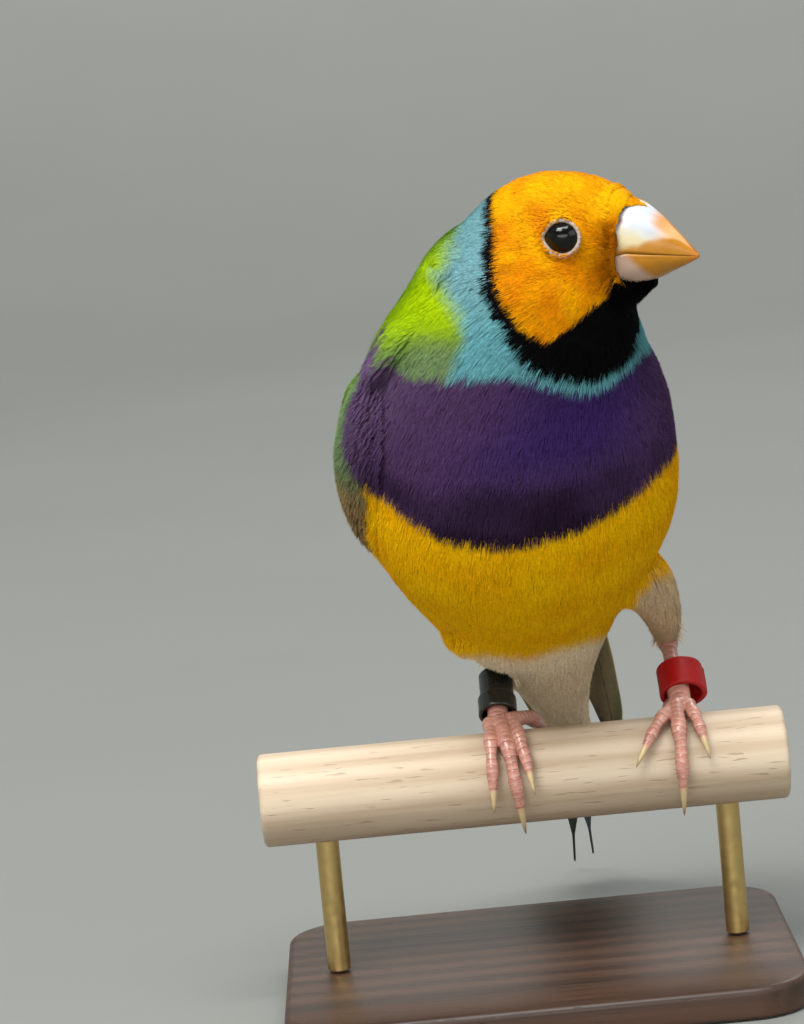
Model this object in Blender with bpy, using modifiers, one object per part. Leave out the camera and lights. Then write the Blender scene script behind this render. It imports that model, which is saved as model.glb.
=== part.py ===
"""A male Gouldian finch, life size and still, gripping a cut length of dowel on a plain display stand.

Metres, +Z up. The origin is the centre of the base's underside. The bird faces -Y, so its right side is
towards -X, and its head is turned towards +X. Sizes below are in millimetres, and places on the bird are
measured from the middle of the dowel's top line.
"""

import math

import bmesh
import bpy
import numpy as np
from mathutils import Matrix, Vector

MM = 0.001
GAP = 0.3

# Stand and dowel
BASE_WIDTH, BASE_DEPTH, BASE_THICKNESS = 66.0, 52.0, 4.0
BASE_CORNER_RADIUS, BASE_EDGE = 8.0, 0.8
PERCH_RADIUS, PERCH_LENGTH, PERCH_EDGE = 6.0, 68.0, 0.6
BIRD_X, PERCH_TOP = 9.0, 33.5
ROD_RADIUS, ROD_SPACING = 1.5, 52.0

# Body: the middle line from tail root to nape, and the half sizes of the body around it.
# Columns: x, y, z, half width, depth to the back, depth to the belly, turn about the middle line in degrees
BODY_STATIONS = (
    (-1.6, 27.0, -6.6, 4.2, 2.3, 2.4, 5.0),
    (-2.1, 22.6, -2.4, 3.9, 3.3, 3.0, 6.0),
    (-3.7, 14.0, 6.0, 6.75, 6.4, 5.4, 8.0),
    (-5.4, 5.0, 16.5, 13.3, 12.6, 10.4, 12.0),
    (-6.0, -2.5, 28.5, 19.9, 17.0, 18.0, 16.0),
    (-6.1, -7.5, 40.0, 20.3, 16.8, 18.4, 20.0),
    (-5.9, -10.5, 49.0, 18.6, 14.8, 16.2, 30.0),
    (-4.7, -12.0, 56.5, 15.8, 12.6, 14.8, 42.0),
    (-3.8, -12.4, 62.0, 12.4, 11.0, 11.6, 55.0),
    (-3.2, -12.8, 65.8, 8.4, 7.6, 5.6, 60.0),
)
# The form the folded wings lie on: the body in front, held wider than the rump behind
HULL_STATIONS = (
    (1.0, 41.0, -17.0, 6.4, 2.4, 3.0, 4.0),
    (-0.2, 32.0, -9.0, 6.7, 3.2, 3.6, 5.0),
    (-1.6, 23.5, -1.2, 7.2, 4.6, 5.0, 7.0),
    (-4.0, 14.0, 8.0, 9.4, 8.0, 8.2, 9.0),
    (-5.6, 5.0, 18.0, 14.2, 13.4, 13.6, 12.0),
    (-5.9, -2.5, 28.5, 19.6, 17.2, 18.2, 16.0),
    (-6.1, -7.5, 40.0, 20.7, 17.0, 18.6, 20.0),
    (-5.9, -10.5, 49.0, 19.0, 15.0, 15.8, 30.0),
    (-4.6, -12.0, 56.5, 15.2, 12.4, 13.0, 42.0),
)
BODY_RINGS, BODY_SIDES = 40, 36
HULL_START = -15.0

# Head: its frame, then its half sizes. Columns: forward, top, bottom, half width.
HEAD_CENTRE = (1.6, -15.0, 62.3)
HEAD_TURN, HEAD_DROP = 65.0, 8.0
HEAD_STATIONS = (
    (-14.6, 1.2, -3.0, 2.6),
    (-12.4, 4.0, -6.0, 5.2),
    (-9.2, 6.9, -7.8, 7.0),
    (-5.2, 9.1, -8.8, 8.0),
    (-1.0, 9.85, -10.0, 8.1),
    (3.5, 9.55, -9.4, 7.6),
    (6.5, 8.5, -7.7, 6.2),
    (8.8, 7.2, -6.0, 4.4),
    (10.4, 5.4, -4.0, 2.6),
)
HEAD_RINGS, HEAD_SIDES = 24, 28

# Fusing head, neck and body into one form, and the two cuts that divide it
FUSE_VOXEL, FUSE_SMOOTHS, FUSED_TRIANGLES = 0.75, 16, 2600
NECK_CUT_TOP, NECK_CUT_BOTTOM = (-3.0, -14.0, 57.2), (-6.0, -9.0, 47.2)
NECK_TOP_TILT, NECK_BOTTOM_TILT = (0.34, -0.16, 1.0), (0.10, -0.30, 1.0)

# Eye and its lids, placed in the head's frame: forward, up, and out from the middle
EYE_RADIUS, EYE_FORWARD, EYE_UP, EYE_OUT = 2.5, 2.1, 2.25, 5.95
# The eye looks mostly sideways: how far its direction leans forward and up
EYE_LEAN_FORWARD, EYE_LEAN_UP = 0.22, 0.04
# The lid is a rounded ring, a little flatter than a circle, round the opening in which the eye shows
LID_RADIUS, LID_OPENING, LID_FLATTER = 2.4, 2.0, 0.9
LID_WIDTH, LID_HEIGHT, LID_SUNK = 0.55, 0.65, 0.1
LID_STEPS, LID_SIDES = 20, 5

# Bill. Columns: forward of the head's centre, height over the gape, depth under it, half width.
BILL_STATIONS = (
    (5.6, 6.1, 4.6, 4.1),
    (7.8, 6.2, 4.5, 4.1),
    (10.2, 5.7, 3.9, 3.6),
    (12.5, 4.3, 3.0, 2.75),
    (14.3, 2.9, 2.0, 1.85),
    (16.0, 1.45, 1.05, 0.95),
    (17.35, 0.22, 0.2, 0.2),
)
GAPE_UP, GAPE_THINS = 0.55, 1.5
BILL_FULLNESS, BILL_LEAST, BILL_END = 0.85, 0.05, 16.0
BILL_RINGS, BILL_SIDES = 10, 11
NOSTRIL_FORWARD, NOSTRIL_UP, NOSTRIL_OUT, NOSTRIL_RADIUS = 8.6, 4.1, 3.1, 0.45

# Legs. Columns of a thigh: place and radius, from inside the body to the heel.
THIGH_STATIONS = {
    "left": ((5.0, -3.0, 21.5, 5.4), (8.8, 1.0, 17.6, 4.2), (11.0, 6.5, 12.8, 2.9), (11.9, 12.4, 8.6, 2.0)),
    "right": (
        (-13.8, -3.0, 16.5, 5.0), (-13.4, 2.0, 13.6, 4.6), (-12.2, 8.0, 11.6, 3.2), (-11.1, 13.2, 8.9, 1.9)
    ),
}
HEEL = {"left": (12.0, 13.0, 7.6), "right": (-11.0, 13.0, 7.6)}
FOOT = {"left": (12.1, 0.4, 1.9), "right": (-11.5, 0.4, 1.9)}
HEEL_RADIUS, SHANK_RADIUS, ANKLE_RADIUS = 1.45, 0.95, 1.15
# Along the shank from the heel, and along the pad from just above the foot: distance and radius
HEEL_STATIONS = ((-0.9, 0.95), (-0.2, HEEL_RADIUS), (1.2, 1.3), (3.0, SHANK_RADIUS))
PAD_RADII = (1.25, 1.5, 1.15)
LEG_ROUNDNESS, TOE_ROUNDNESS, CLAW_ROUNDNESS = 4, 2, 1

# Toes, each a path round the dowel: degrees forward over it at the root and the tip, sideways travel, radii
TOES = {
    "left": {
        "inner": (6, 58, (-0.8, -5.2), (0.95, 0.65)),
        "middle": (6, 101, (-0.7, -1.1), (1.05, 0.72)),
        "outer": (6, 54, (0.8, 2.0), (0.95, 0.65)),
        "hind": (6, -92, (-0.3, -1.5), (1.05, 0.75)),
    },
    "right": {
        "inner": (6, 72, (1.7, 3.1), (0.95, 0.65)),
        "middle": (6, 106, (0.1, 1.6), (1.05, 0.72)),
        "outer": (6, 86, (-1.1, -1.6), (0.95, 0.65)),
        "hind": (6, -78, (0.6, 6.8), (1.05, 0.75)),
    },
}
CLAW_LENGTH = {"inner": 3.0, "middle": 4.0, "outer": 3.0, "hind": 4.2}
TOE_RINGS, TOE_KNUCKLE, KNUCKLES, TOE_SWING, HIND_TOE_SWING = 8, 0.12, 2.5, 0.9, 0.5
# A claw's root against the toe's tip, how it thins, its blunt point, and its hook down for its length
CLAW_RINGS, CLAW_ROOT, CLAW_TAPER, CLAW_POINT, CLAW_RAISED, CLAW_HOOK = 4, 0.86, 0.75, 0.12, 0.1, 0.105
CLAW_GAP = GAP + 0.02

# Leg rings, worn loose: distance up the shank from the foot, length, inner and outer radius, how many
# degrees steeper than the shank each stands, and how far it has slipped towards the bird's left
RINGS = {
    "band_red": ("left", 1.95, 4.2, 2.4, 3.0, 20.0, 0.6),
    "band_black_lower": ("right", 0.95, 2.7, 2.0, 2.5, 16.0, 0.0),
    "band_black_upper": ("right", 4.4, 4.2, 1.75, 2.2, 16.0, 0.0),
}
RING_SIDES, RING_EDGE = 18, 0.2

# Wings, laid out on the body: distance along the middle line from the tail root, degrees from the back.
# Columns of the wing's plain form: along, upper edge, lower edge, depth
WING_CORE = (
    (71.0, 68.0, 78.0, 0.6),
    (68.5, 54.0, 87.0, 1.1),
    (62.0, 43.0, 90.0, 1.3),
    (50.0, 33.0, 79.0, 1.2),
    (38.0, 25.0, 64.0, 1.0),
    (26.0, 18.0, 58.0, 0.8),
    (15.0, 16.0, 54.0, 0.6),
)
WING_CORE_ROWS, WING_CORE_COLUMNS, WING_CORE_LEAST = 11, 8, 0.5
# Columns of a tier: vanes, root and tip distances of its first and last vane, its angles at root and tip,
# half width, lift at root and tip
WING_TIERS = {
    "primary": (6, (36, -7), (32, 11), (60, 58), (50, 32), 2.6, 0.8, 1.2),
    "secondary": (5, (45, 16), (44, 26), (70, 46), (44, 22), 3.4, 1.0, 1.6),
    "primary_covert": (2, (60, 42), (57, 38), (86, 72), (80, 66), 2.2, 1.1, 1.3),
    "alula": (1, (66, 54), (66, 54), (88, 84), (88, 84), 1.7, 1.2, 1.5),
    "greater_covert": (6, (57, 38), (53, 35), (80, 66), (44, 32), 3.1, 1.2, 1.6),
    "median_covert": (5, (64, 50), (59, 46), (80, 74), (47, 38), 3.1, 1.3, 1.9),
}
VANE_THICKNESS, VANE_ROWS, VANE_FLOOR = 0.5, 3, 0.4
VANE_RIDGE, VANE_TILT, VANE_UNDER = 0.12, 0.3, 0.1
# A vane's outline: share of the full half width at its root, where it is full, where its end starts to round
# off and how fast, and the least share left at the tip
VANE_ROOT, VANE_FULL, VANE_ROUNDS, VANE_ROUNDING, VANE_LEAST = 0.62, 0.55, 0.62, 0.15, 0.03
# Past the folded wing's core, a vane's underside comes down to the body within this distance
VANE_BACKED = 5.0
# Degrees lower than the angles above that each wing is held, and how much narrower it folds towards its tip
# (less than nothing is wider), drawn in to one angle from a distance along
WING_HELD = {1: (-14.0, -0.10), -1: (0.0, 0.78)}
TUCK_ANGLE, TUCK_START = 12.0, 45.0

# Tail: root, tip, and its feathers from the middle pair outwards: length, root offset, spread in
# degrees, half width
TAIL_ROOT, TAIL_TIP = (-1.2, 26.0, -5.4), (0.4, 57.0, -30.8)
TAIL_FEATHERS = (
    (40.0, 0.4, 1.4, 2.4),
    (26.0, 1.2, 2.6, 2.5),
    (25.0, 2.0, 4.0, 2.5),
    (23.5, 2.8, 5.4, 2.4),
    (21.5, 3.6, 6.8, 2.3),
)
TAIL_STEP, TAIL_PAIR_STEP, TAIL_LONGER = 0.45, 0.17, 2.2
# The middle pair ends in a long thin point: its length, its share of the half width, where it narrows
TAIL_FILAMENT, FILAMENT_WIDTH, FILAMENT_START, FILAMENT_FULL = 26.0, 0.12, 0.35, 0.5
TAIL_ROWS, MIDDLE_ROWS, TAIL_ARCH = 4, 6, 0.22
# The tail's core: where it starts and how long it is, its half sizes, and how much they shrink
TAIL_CORE, TAIL_CORE_SIZES, TAIL_CORE_TAPER, TAIL_CORE_DROP = (0.4, 12.0), (3.6, 1.4), (0.45, 0.6), 1.0
TAIL_CORE_RINGS, TAIL_CORE_SIDES = 5, 12

COLOURS = {
    "head_orange": ((0.86, 0.44, 0.03), 0.75),
    "neck_blue": ((0.22, 0.52, 0.52), 0.7),
    "breast_purple": ((0.16, 0.06, 0.34), 0.75),
    "wing_green": ((0.20, 0.36, 0.05), 0.65),
    "tail_black": ((0.03, 0.03, 0.03), 0.6),
    "thigh_buff": ((0.66, 0.54, 0.38), 0.8),
    "leg_pink": ((0.72, 0.42, 0.38), 0.5),
    "claw_horn": ((0.62, 0.52, 0.34), 0.35),
    "bill_pearl": ((0.86, 0.74, 0.56), 0.3),
    "eye_dark": ((0.01, 0.01, 0.012), 0.08),
    "band_red": ((0.62, 0.03, 0.03), 0.35),
    "band_black": ((0.01, 0.014, 0.012), 0.3),
    "dowel_beech": ((0.72, 0.58, 0.42), 0.6),
    "stand_wood": ((0.08, 0.05, 0.035), 0.45),
    "stand_brass": ((0.72, 0.55, 0.25), 0.3),
}
METALS = {"stand_brass"}


def place(point):
    """A point measured from the dowel's top line, in metres in the part's frame."""
    x, y, z = point
    return np.array((x + BIRD_X, y, z + PERCH_TOP)) * MM


def unit(vector):
    return vector / np.linalg.norm(vector)


def smooth_table(rows, count):
    """count rows read from a smooth curve through the rows of a table, evenly along their index."""
    rows = np.array(rows, float)
    last = len(rows) - 1
    slope = np.gradient(rows, axis=0)
    at = np.linspace(0, last, count)
    low = np.minimum(at.astype(int), last - 1)
    t = (at - low)[:, None]
    a, b, da, db = rows[low], rows[low + 1], slope[low], slope[low + 1]
    return (
        a * (1 + 2 * t) * (1 - t) ** 2
        + da * t * (1 - t) ** 2
        + b * t * t * (3 - 2 * t)
        - db * t * t * (1 - t)
    )


def make_material(name):
    colour, roughness = COLOURS[name]
    material = bpy.data.materials.new(name)
    material.use_nodes = True
    shader = material.node_tree.nodes["Principled BSDF"]
    shader.inputs["Base Color"].default_value = (*colour, 1)
    shader.inputs["Roughness"].default_value = roughness
    shader.inputs["Metallic"].default_value = 1.0 if name in METALS else 0.0
    return material


def make_object(name, bm, group="finch", material=None):
    mesh = bpy.data.meshes.new(name)
    bmesh.ops.recalc_face_normals(bm, faces=bm.faces)
    if bm.calc_volume(signed=True) < 0:
        bmesh.ops.reverse_faces(bm, faces=bm.faces)
    bm.to_mesh(mesh)
    bm.free()
    obj = bpy.data.objects.new(name, mesh)
    bpy.data.collections[group].objects.link(obj)
    if group == "cutters":
        obj.hide_render = True
        obj.display_type = "WIRE"
    if material:
        mesh.materials.append(bpy.data.materials[material])
    return obj


def loft(name, rings, **kind):
    """A closed solid through rings of points, in metres, with a fan at each end."""
    bm = bmesh.new()
    loops = [[bm.verts.new(p) for p in ring] for ring in rings]
    sides = len(rings[0])
    for one, two in zip(loops, loops[1:]):
        for i in range(sides):
            j = (i + 1) % sides
            bm.faces.new((one[i], one[j], two[j], two[i]))
    for loop, ring in ((loops[0], rings[0]), (loops[-1], rings[-1])):
        middle = bm.verts.new(np.mean(ring, axis=0))
        for i in range(sides):
            bm.faces.new((loop[i], loop[(i + 1) % sides], middle))
    return make_object(name, bm, **kind)


def apply_modifiers(obj):
    graph = bpy.context.evaluated_depsgraph_get()
    mesh = bpy.data.meshes.new_from_object(obj.evaluated_get(graph))
    obj.modifiers.clear()
    old = obj.data
    obj.data = mesh
    bpy.data.meshes.remove(old)


def boolean(obj, operation, other, solver="MANIFOLD"):
    """Joins or cuts obj with one object, or with a list of them, and applies it."""
    others = other if isinstance(other, list) else [other]
    tools = bpy.data.collections.new("tools")
    bpy.context.scene.collection.children.link(tools)
    for tool in others:
        tools.objects.link(tool)
    modifier = obj.modifiers.new(operation.lower(), "BOOLEAN")
    modifier.operation = operation
    modifier.solver = solver
    modifier.operand_type = "COLLECTION"
    modifier.collection = tools
    apply_modifiers(obj)
    bpy.data.collections.remove(tools)


def remove(*objects):
    for obj in objects:
        bpy.data.objects.remove(obj)


def keep_largest(obj):
    """Keeps only the largest closed surface of a mesh, by the size of its box."""
    bm = bmesh.new()
    bm.from_mesh(obj.data)
    left, islands = set(bm.verts), []
    while left:
        island, edge = set(), [left.pop()]
        while edge:
            vert = edge.pop()
            island.add(vert)
            for link in vert.link_edges:
                other = link.other_vert(vert)
                if other in left:
                    left.remove(other)
                    edge.append(other)
        islands.append(island)
    spread = [np.ptp(np.array([v.co for v in island]), axis=0).prod() for island in islands]
    for island, size in zip(islands, spread):
        if size < max(spread):
            bmesh.ops.delete(bm, geom=list(island), context="VERTS")
    bm.to_mesh(obj.data)
    bm.free()


def weld(obj, distance=0.01):
    bm = bmesh.new()
    bm.from_mesh(obj.data)
    bmesh.ops.remove_doubles(bm, verts=bm.verts, dist=distance * MM)
    bmesh.ops.triangulate(bm, faces=bm.faces)
    bm.to_mesh(obj.data)
    bm.free()


def inflated(obj, distance):
    """A hidden copy of a closed object, grown outwards along its normals."""
    bm = bmesh.new()
    bm.from_mesh(obj.data)
    bm.normal_update()
    grown = [vert.co + vert.normal * distance * MM for vert in bm.verts]
    for vert, co in zip(bm.verts, grown):
        vert.co = co
    return make_object(obj.name + "_grown", bm, group="cutters")


def shade(obj, degrees=40):
    obj.data.shade_smooth()
    obj.data.set_sharp_from_angle(angle=math.radians(degrees))


# The body as a surface: a middle line with a section at each distance along it

class BodySurface:
    def __init__(self, stations, start=0.0):
        table = smooth_table(stations, 220)
        self.line = table[:, :3]
        steps = np.linalg.norm(np.diff(self.line, axis=0), axis=1)
        self.along = np.concatenate([[0], np.cumsum(steps)]) + start
        self.sizes = table[:, 3:7]

    def frame(self, along):
        """Middle, forward, left and back directions, and sizes. Past the tail root it runs straight on."""
        inside = min(max(along, self.along[0]), self.along[-1])
        middle = np.array([np.interp(inside, self.along, self.line[:, i]) for i in range(3)])
        step = 0.6
        ahead = np.array([np.interp(inside + step, self.along, self.line[:, i]) for i in range(3)])
        behind = np.array([np.interp(inside - step, self.along, self.line[:, i]) for i in range(3)])
        forward = unit(ahead - behind)
        middle = middle + forward * (along - inside)
        width, back, belly, turn = (np.interp(inside, self.along, self.sizes[:, i]) for i in range(4))
        left = unit(np.array((1.0, 0, 0)) - forward[0] * forward)
        dorsal = np.cross(forward, left)
        c, s = math.cos(math.radians(turn)), math.sin(math.radians(turn))
        return middle, forward, left * c + dorsal * s, dorsal * c - left * s, (width, back, belly)

    def point(self, along, degrees, side=1, lift=0.0):
        """The surface point so many degrees round from the middle of the back, on the left for side 1."""
        middle, _, left, dorsal, (width, back, belly) = self.frame(along)
        angle = math.radians(degrees)
        depth = back if math.cos(angle) > 0 else belly
        across, up = math.sin(angle), math.cos(angle)
        outward = unit(left * side * across / max(width, 1) + dorsal * up / max(depth, 1))
        return middle + left * side * across * width + dorsal * up * depth + outward * lift

    def ring(self, along, sides):
        return [place(self.point(along, 360 * i / sides)) for i in range(sides)]

    def girth_radius(self, along):
        width, back, belly = self.frame(along)[4]
        return max((width + back) / 2, 3.0)


class HeadFrame:
    def __init__(self):
        turn, drop = math.radians(HEAD_TURN), math.radians(HEAD_DROP)
        self.centre = np.array(HEAD_CENTRE)
        self.forward = np.array(
            (math.sin(turn) * math.cos(drop), -math.cos(turn) * math.cos(drop), -math.sin(drop))
        )
        self.left = np.array((math.cos(turn), math.sin(turn), 0.0))
        self.up = np.cross(self.forward, self.left)

    def point(self, forward, up, left):
        return self.centre + self.forward * forward + self.up * up + self.left * left


def oval(middle, across, up, half_width, top, bottom, sides):
    """Points of an oval whose upper and lower halves may differ in height."""
    points = []
    for i in range(sides):
        angle = math.tau * i / sides
        height = top if math.cos(angle) > 0 else bottom
        points.append(place(middle + across * math.sin(angle) * half_width + up * math.cos(angle) * height))
    return points


def build_flesh(body, head):
    """Head, neck and body as one smooth closed form."""
    trunk_rings = [body.ring(a, BODY_SIDES) for a in np.linspace(body.along[0], body.along[-1], BODY_RINGS)]
    trunk = loft("flesh", trunk_rings)
    head_rings = []
    for forward, top, bottom, width in smooth_table(HEAD_STATIONS, HEAD_RINGS):
        middle = head.point(forward, (top + bottom) / 2, 0)
        half = (top - bottom) / 2
        head_rings.append(oval(middle, head.left, head.up, width, half, half, HEAD_SIDES))
    skull = loft("skull_form", head_rings)
    boolean(trunk, "UNION", skull)
    remove(skull)
    fuse = trunk.modifiers.new("fuse", "REMESH")
    fuse.mode = "VOXEL"
    fuse.voxel_size = FUSE_VOXEL * MM
    soften = trunk.modifiers.new("soften", "SMOOTH")
    soften.factor = 0.5
    soften.iterations = FUSE_SMOOTHS
    apply_modifiers(trunk)
    thin = trunk.modifiers.new("thin", "DECIMATE")
    thin.ratio = FUSED_TRIANGLES / (2 * len(trunk.data.polygons))
    apply_modifiers(trunk)
    weld(trunk)
    return trunk


def sliced(name, source, planes, material):
    """A copy of a closed form between planes, each a point and an outward direction, with flat cuts."""
    bm = bmesh.new()
    bm.from_mesh(source.data)
    for point, outward in planes:
        direction = Vector(unit(np.array(outward, float)))
        at = Vector(place(point)) - direction * (GAP / 2 * MM)
        geometry = list(bm.verts) + list(bm.edges) + list(bm.faces)
        cut = bmesh.ops.bisect_plane(
            bm, geom=geometry, dist=1e-7, plane_co=at, plane_no=direction, clear_outer=True
        )
        rim = [e for e in cut["geom_cut"] if isinstance(e, bmesh.types.BMEdge)]
        bmesh.ops.triangle_fill(bm, use_beauty=True, edges=rim, normal=direction)
    bmesh.ops.triangulate(bm, faces=bm.faces)
    return make_object(name, bm, material=material)


def divide_flesh(flesh):
    """Head, neck and torso, cut apart at the two sloping planes."""
    down_top = tuple(-v for v in NECK_TOP_TILT)
    down_bottom = tuple(-v for v in NECK_BOTTOM_TILT)
    head = sliced("head", flesh, [(NECK_CUT_TOP, down_top)], "head_orange")
    sliced("neck", flesh, [(NECK_CUT_TOP, NECK_TOP_TILT), (NECK_CUT_BOTTOM, down_bottom)], "neck_blue")
    torso = sliced("torso", flesh, [(NECK_CUT_BOTTOM, NECK_BOTTOM_TILT)], "breast_purple")
    return head, torso


def ball(name, centre, radius, segments=20, rings=12, **kind):
    bm = bmesh.new()
    bmesh.ops.create_uvsphere(bm, u_segments=segments, v_segments=rings, radius=radius * MM)
    bmesh.ops.translate(bm, verts=bm.verts, vec=Vector(place(centre)))
    return make_object(name, bm, **kind)


def eye_centre(frame, side):
    return frame.point(EYE_FORWARD, EYE_UP, side * EYE_OUT)


def eye_axis(frame, side):
    """The direction the eye looks: mostly sideways, a little forward."""
    return unit(frame.left * side + frame.forward * EYE_LEAN_FORWARD + frame.up * EYE_LEAN_UP)


def build_lids(head_obj, frame):
    """Raised rings of bare skin round both eyes, then the sockets that hold the eyes."""
    for side in (1, -1):
        axis = eye_axis(frame, side)
        across = unit(np.cross(axis, frame.up))
        up = np.cross(across, axis)
        middle = eye_centre(frame, side) + axis * (math.sqrt(EYE_RADIUS**2 - LID_OPENING**2) - LID_SUNK)
        bm = bmesh.new()
        loops = []
        for i in range(LID_STEPS):
            angle = math.tau * i / LID_STEPS
            out = across * math.cos(angle) + up * math.sin(angle) * LID_FLATTER
            loop = []
            for a in np.linspace(0, math.tau, LID_SIDES, endpoint=False):
                bulge = out * math.cos(a) * LID_WIDTH + axis * math.sin(a) * LID_HEIGHT
                loop.append(bm.verts.new(place(middle + out * LID_RADIUS + bulge)))
            loops.append(loop)
        for one, two in zip(loops, loops[1:] + loops[:1]):
            for j in range(LID_SIDES):
                k = (j + 1) % LID_SIDES
                bm.faces.new((one[j], one[k], two[k], two[j]))
        lid = make_object("lid_form", bm)
        boolean(head_obj, "UNION", lid)
        socket = ball("socket", eye_centre(frame, side), EYE_RADIUS + GAP, 16, 10, group="cutters")
        boolean(head_obj, "DIFFERENCE", socket)
        remove(lid, socket)


def bill_rings(frame, upper, grow=0.0):
    """Rings of one half of the bill: a half oval that closes along the gape, with a gap kept there."""
    rings = []
    for forward, height, depth, width in smooth_table(BILL_STATIONS, BILL_RINGS):
        size = (height if upper else depth) + grow
        taper = min(1.0, size / GAPE_THINS)
        floor = 0.0 if grow else GAP / 2 * taper
        ring = []
        for i in range(BILL_SIDES):
            angle = math.pi * i / (BILL_SIDES - 1)
            out = math.cos(angle) * (width + grow)
            rise = floor + max(math.sin(angle), 0) ** BILL_FULLNESS * max(size - floor, BILL_LEAST)
            up = GAPE_UP + (rise if upper else -rise)
            ring.append(place(frame.point(forward + (grow if forward > BILL_END else 0), up, out)))
        rings.append(ring)
    return rings


def build_bill(head_obj, frame):
    for upper in (True, False):
        hollow = loft("bill_hollow", bill_rings(frame, upper, GAP), group="cutters")
        boolean(head_obj, "DIFFERENCE", hollow)
        remove(hollow)
    top = loft("bill_upper", bill_rings(frame, True), material="bill_pearl")
    loft("bill_lower", bill_rings(frame, False), material="bill_pearl")
    for side in (1, -1):
        nostril = ball(
            "nostril", frame.point(NOSTRIL_FORWARD, NOSTRIL_UP, side * NOSTRIL_OUT), NOSTRIL_RADIUS, 10, 6,
            group="cutters",
        )
        boolean(top, "DIFFERENCE", nostril)
        remove(nostril)


def tube(name, points, radii, roundness, **kind):
    """A round solid along points, in millimetres, from a bevelled curve with a radius at each point."""
    curve = bpy.data.curves.new(name, "CURVE")
    curve.dimensions = "3D"
    curve.bevel_depth = MM
    curve.bevel_resolution = roundness
    curve.use_fill_caps = True
    spline = curve.splines.new("POLY")
    spline.points.add(len(points) - 1)
    for knot, point, radius in zip(spline.points, points, radii):
        knot.co = (*place(point), 1)
        knot.radius = radius
    guide = bpy.data.objects.new(name, curve)
    bpy.data.collections["cutters"].objects.link(guide)
    graph = bpy.context.evaluated_depsgraph_get()
    mesh = bpy.data.meshes.new_from_object(guide.evaluated_get(graph))
    bm = bmesh.new()
    bm.from_mesh(mesh)
    bmesh.ops.remove_doubles(bm, verts=bm.verts, dist=0.005 * MM)
    remove(guide)
    bpy.data.meshes.remove(mesh)
    return make_object(name, bm, **kind)


def build_thigh(side, torso_grown):
    table = smooth_table(THIGH_STATIONS[side], 9)
    thigh = tube("thigh_" + side, table[:, :3], table[:, 3], LEG_ROUNDNESS, material="thigh_buff")
    boolean(thigh, "DIFFERENCE", torso_grown)
    clear_of_rings(thigh)
    keep_largest(thigh)
    return thigh


def build_shank(side, thigh):
    """The bare lower leg, from a knobbed heel to just above the foot."""
    heel, foot = np.array(HEEL[side]), np.array(FOOT[side])
    slope = unit(foot - heel)
    length = np.linalg.norm(foot - heel)
    stations = (*HEEL_STATIONS, (length - 3.0, SHANK_RADIUS), (length - 0.9, ANKLE_RADIUS))
    points = [heel + slope * distance for distance, _ in stations]
    shank = tube("shank_" + side, points, [r for _, r in stations], LEG_ROUNDNESS, material="leg_pink")
    grown = inflated(thigh, GAP)
    boolean(shank, "DIFFERENCE", grown)
    keep_largest(shank)
    remove(grown)
    return shank


def round_dowel(x, degrees, radius):
    """A point at a distance from the dowel's axis, so many degrees forward from its top."""
    angle = math.radians(degrees)
    return np.array((x, -math.sin(angle) * radius, math.cos(angle) * radius - PERCH_RADIUS))


def toe_path(side, toe, count):
    start, end, (near, far), (thick, thin) = TOES[side][toe]
    swing = HIND_TOE_SWING if toe == "hind" else TOE_SWING
    foot_x = FOOT[side][0]
    points, radii = [], []
    for t in np.linspace(0, 1, count):
        radius = (thick + (thin - thick) * t) * (1 + TOE_KNUCKLE * math.cos(t * math.tau * KNUCKLES))
        bulge = thick * (1 + TOE_KNUCKLE)
        x = foot_x + near + (far - near) * t**swing
        points.append(round_dowel(x, start + (end - start) * t, PERCH_RADIUS + GAP + bulge))
        radii.append(radius)
    return points, radii


def build_foot(side, shank):
    """The pad and four toes as one closed solid."""
    foot = np.array(FOOT[side])
    heel = np.array(HEEL[side])
    slope = unit(foot - heel)
    pad_points = [foot - slope * 0.5, foot + slope * 0.4, foot + np.array((0, -1.0, -0.05))]
    pad = tube("foot_" + side, pad_points, PAD_RADII, LEG_ROUNDNESS, material="leg_pink")
    toes = [
        tube(f"toe_{toe}", *toe_path(side, toe, TOE_RINGS), TOE_ROUNDNESS) for toe in TOES[side]
    ]
    boolean(pad, "UNION", toes)
    remove(*toes)
    grown = inflated(shank, GAP)
    boolean(pad, "DIFFERENCE", grown)
    dowel = dowel_cutter(PERCH_RADIUS + GAP)
    boolean(pad, "DIFFERENCE", dowel)
    clear_of_rings(pad, worn=True)
    keep_largest(pad)
    remove(grown, dowel)
    return pad


def dowel_cutter(radius):
    return rod("dowel_cutter", (-60, 0, -PERCH_RADIUS), (60, 0, -PERCH_RADIUS), radius, 64, group="cutters")


def rod(name, start, end, radius, sides, **kind):
    """A plain cylinder between two points, in millimetres from the dowel's top line."""
    start, end = Vector(place(start)), Vector(place(end))
    bm = bmesh.new()
    bmesh.ops.create_cone(
        bm, cap_ends=True, segments=sides,
        radius1=radius * MM, radius2=radius * MM, depth=(end - start).length,
    )
    turn = (end - start).to_track_quat("Z", "Y").to_matrix().to_4x4()
    bm.transform(Matrix.Translation((start + end) / 2) @ turn)
    return make_object(name, bm, **kind)


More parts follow.
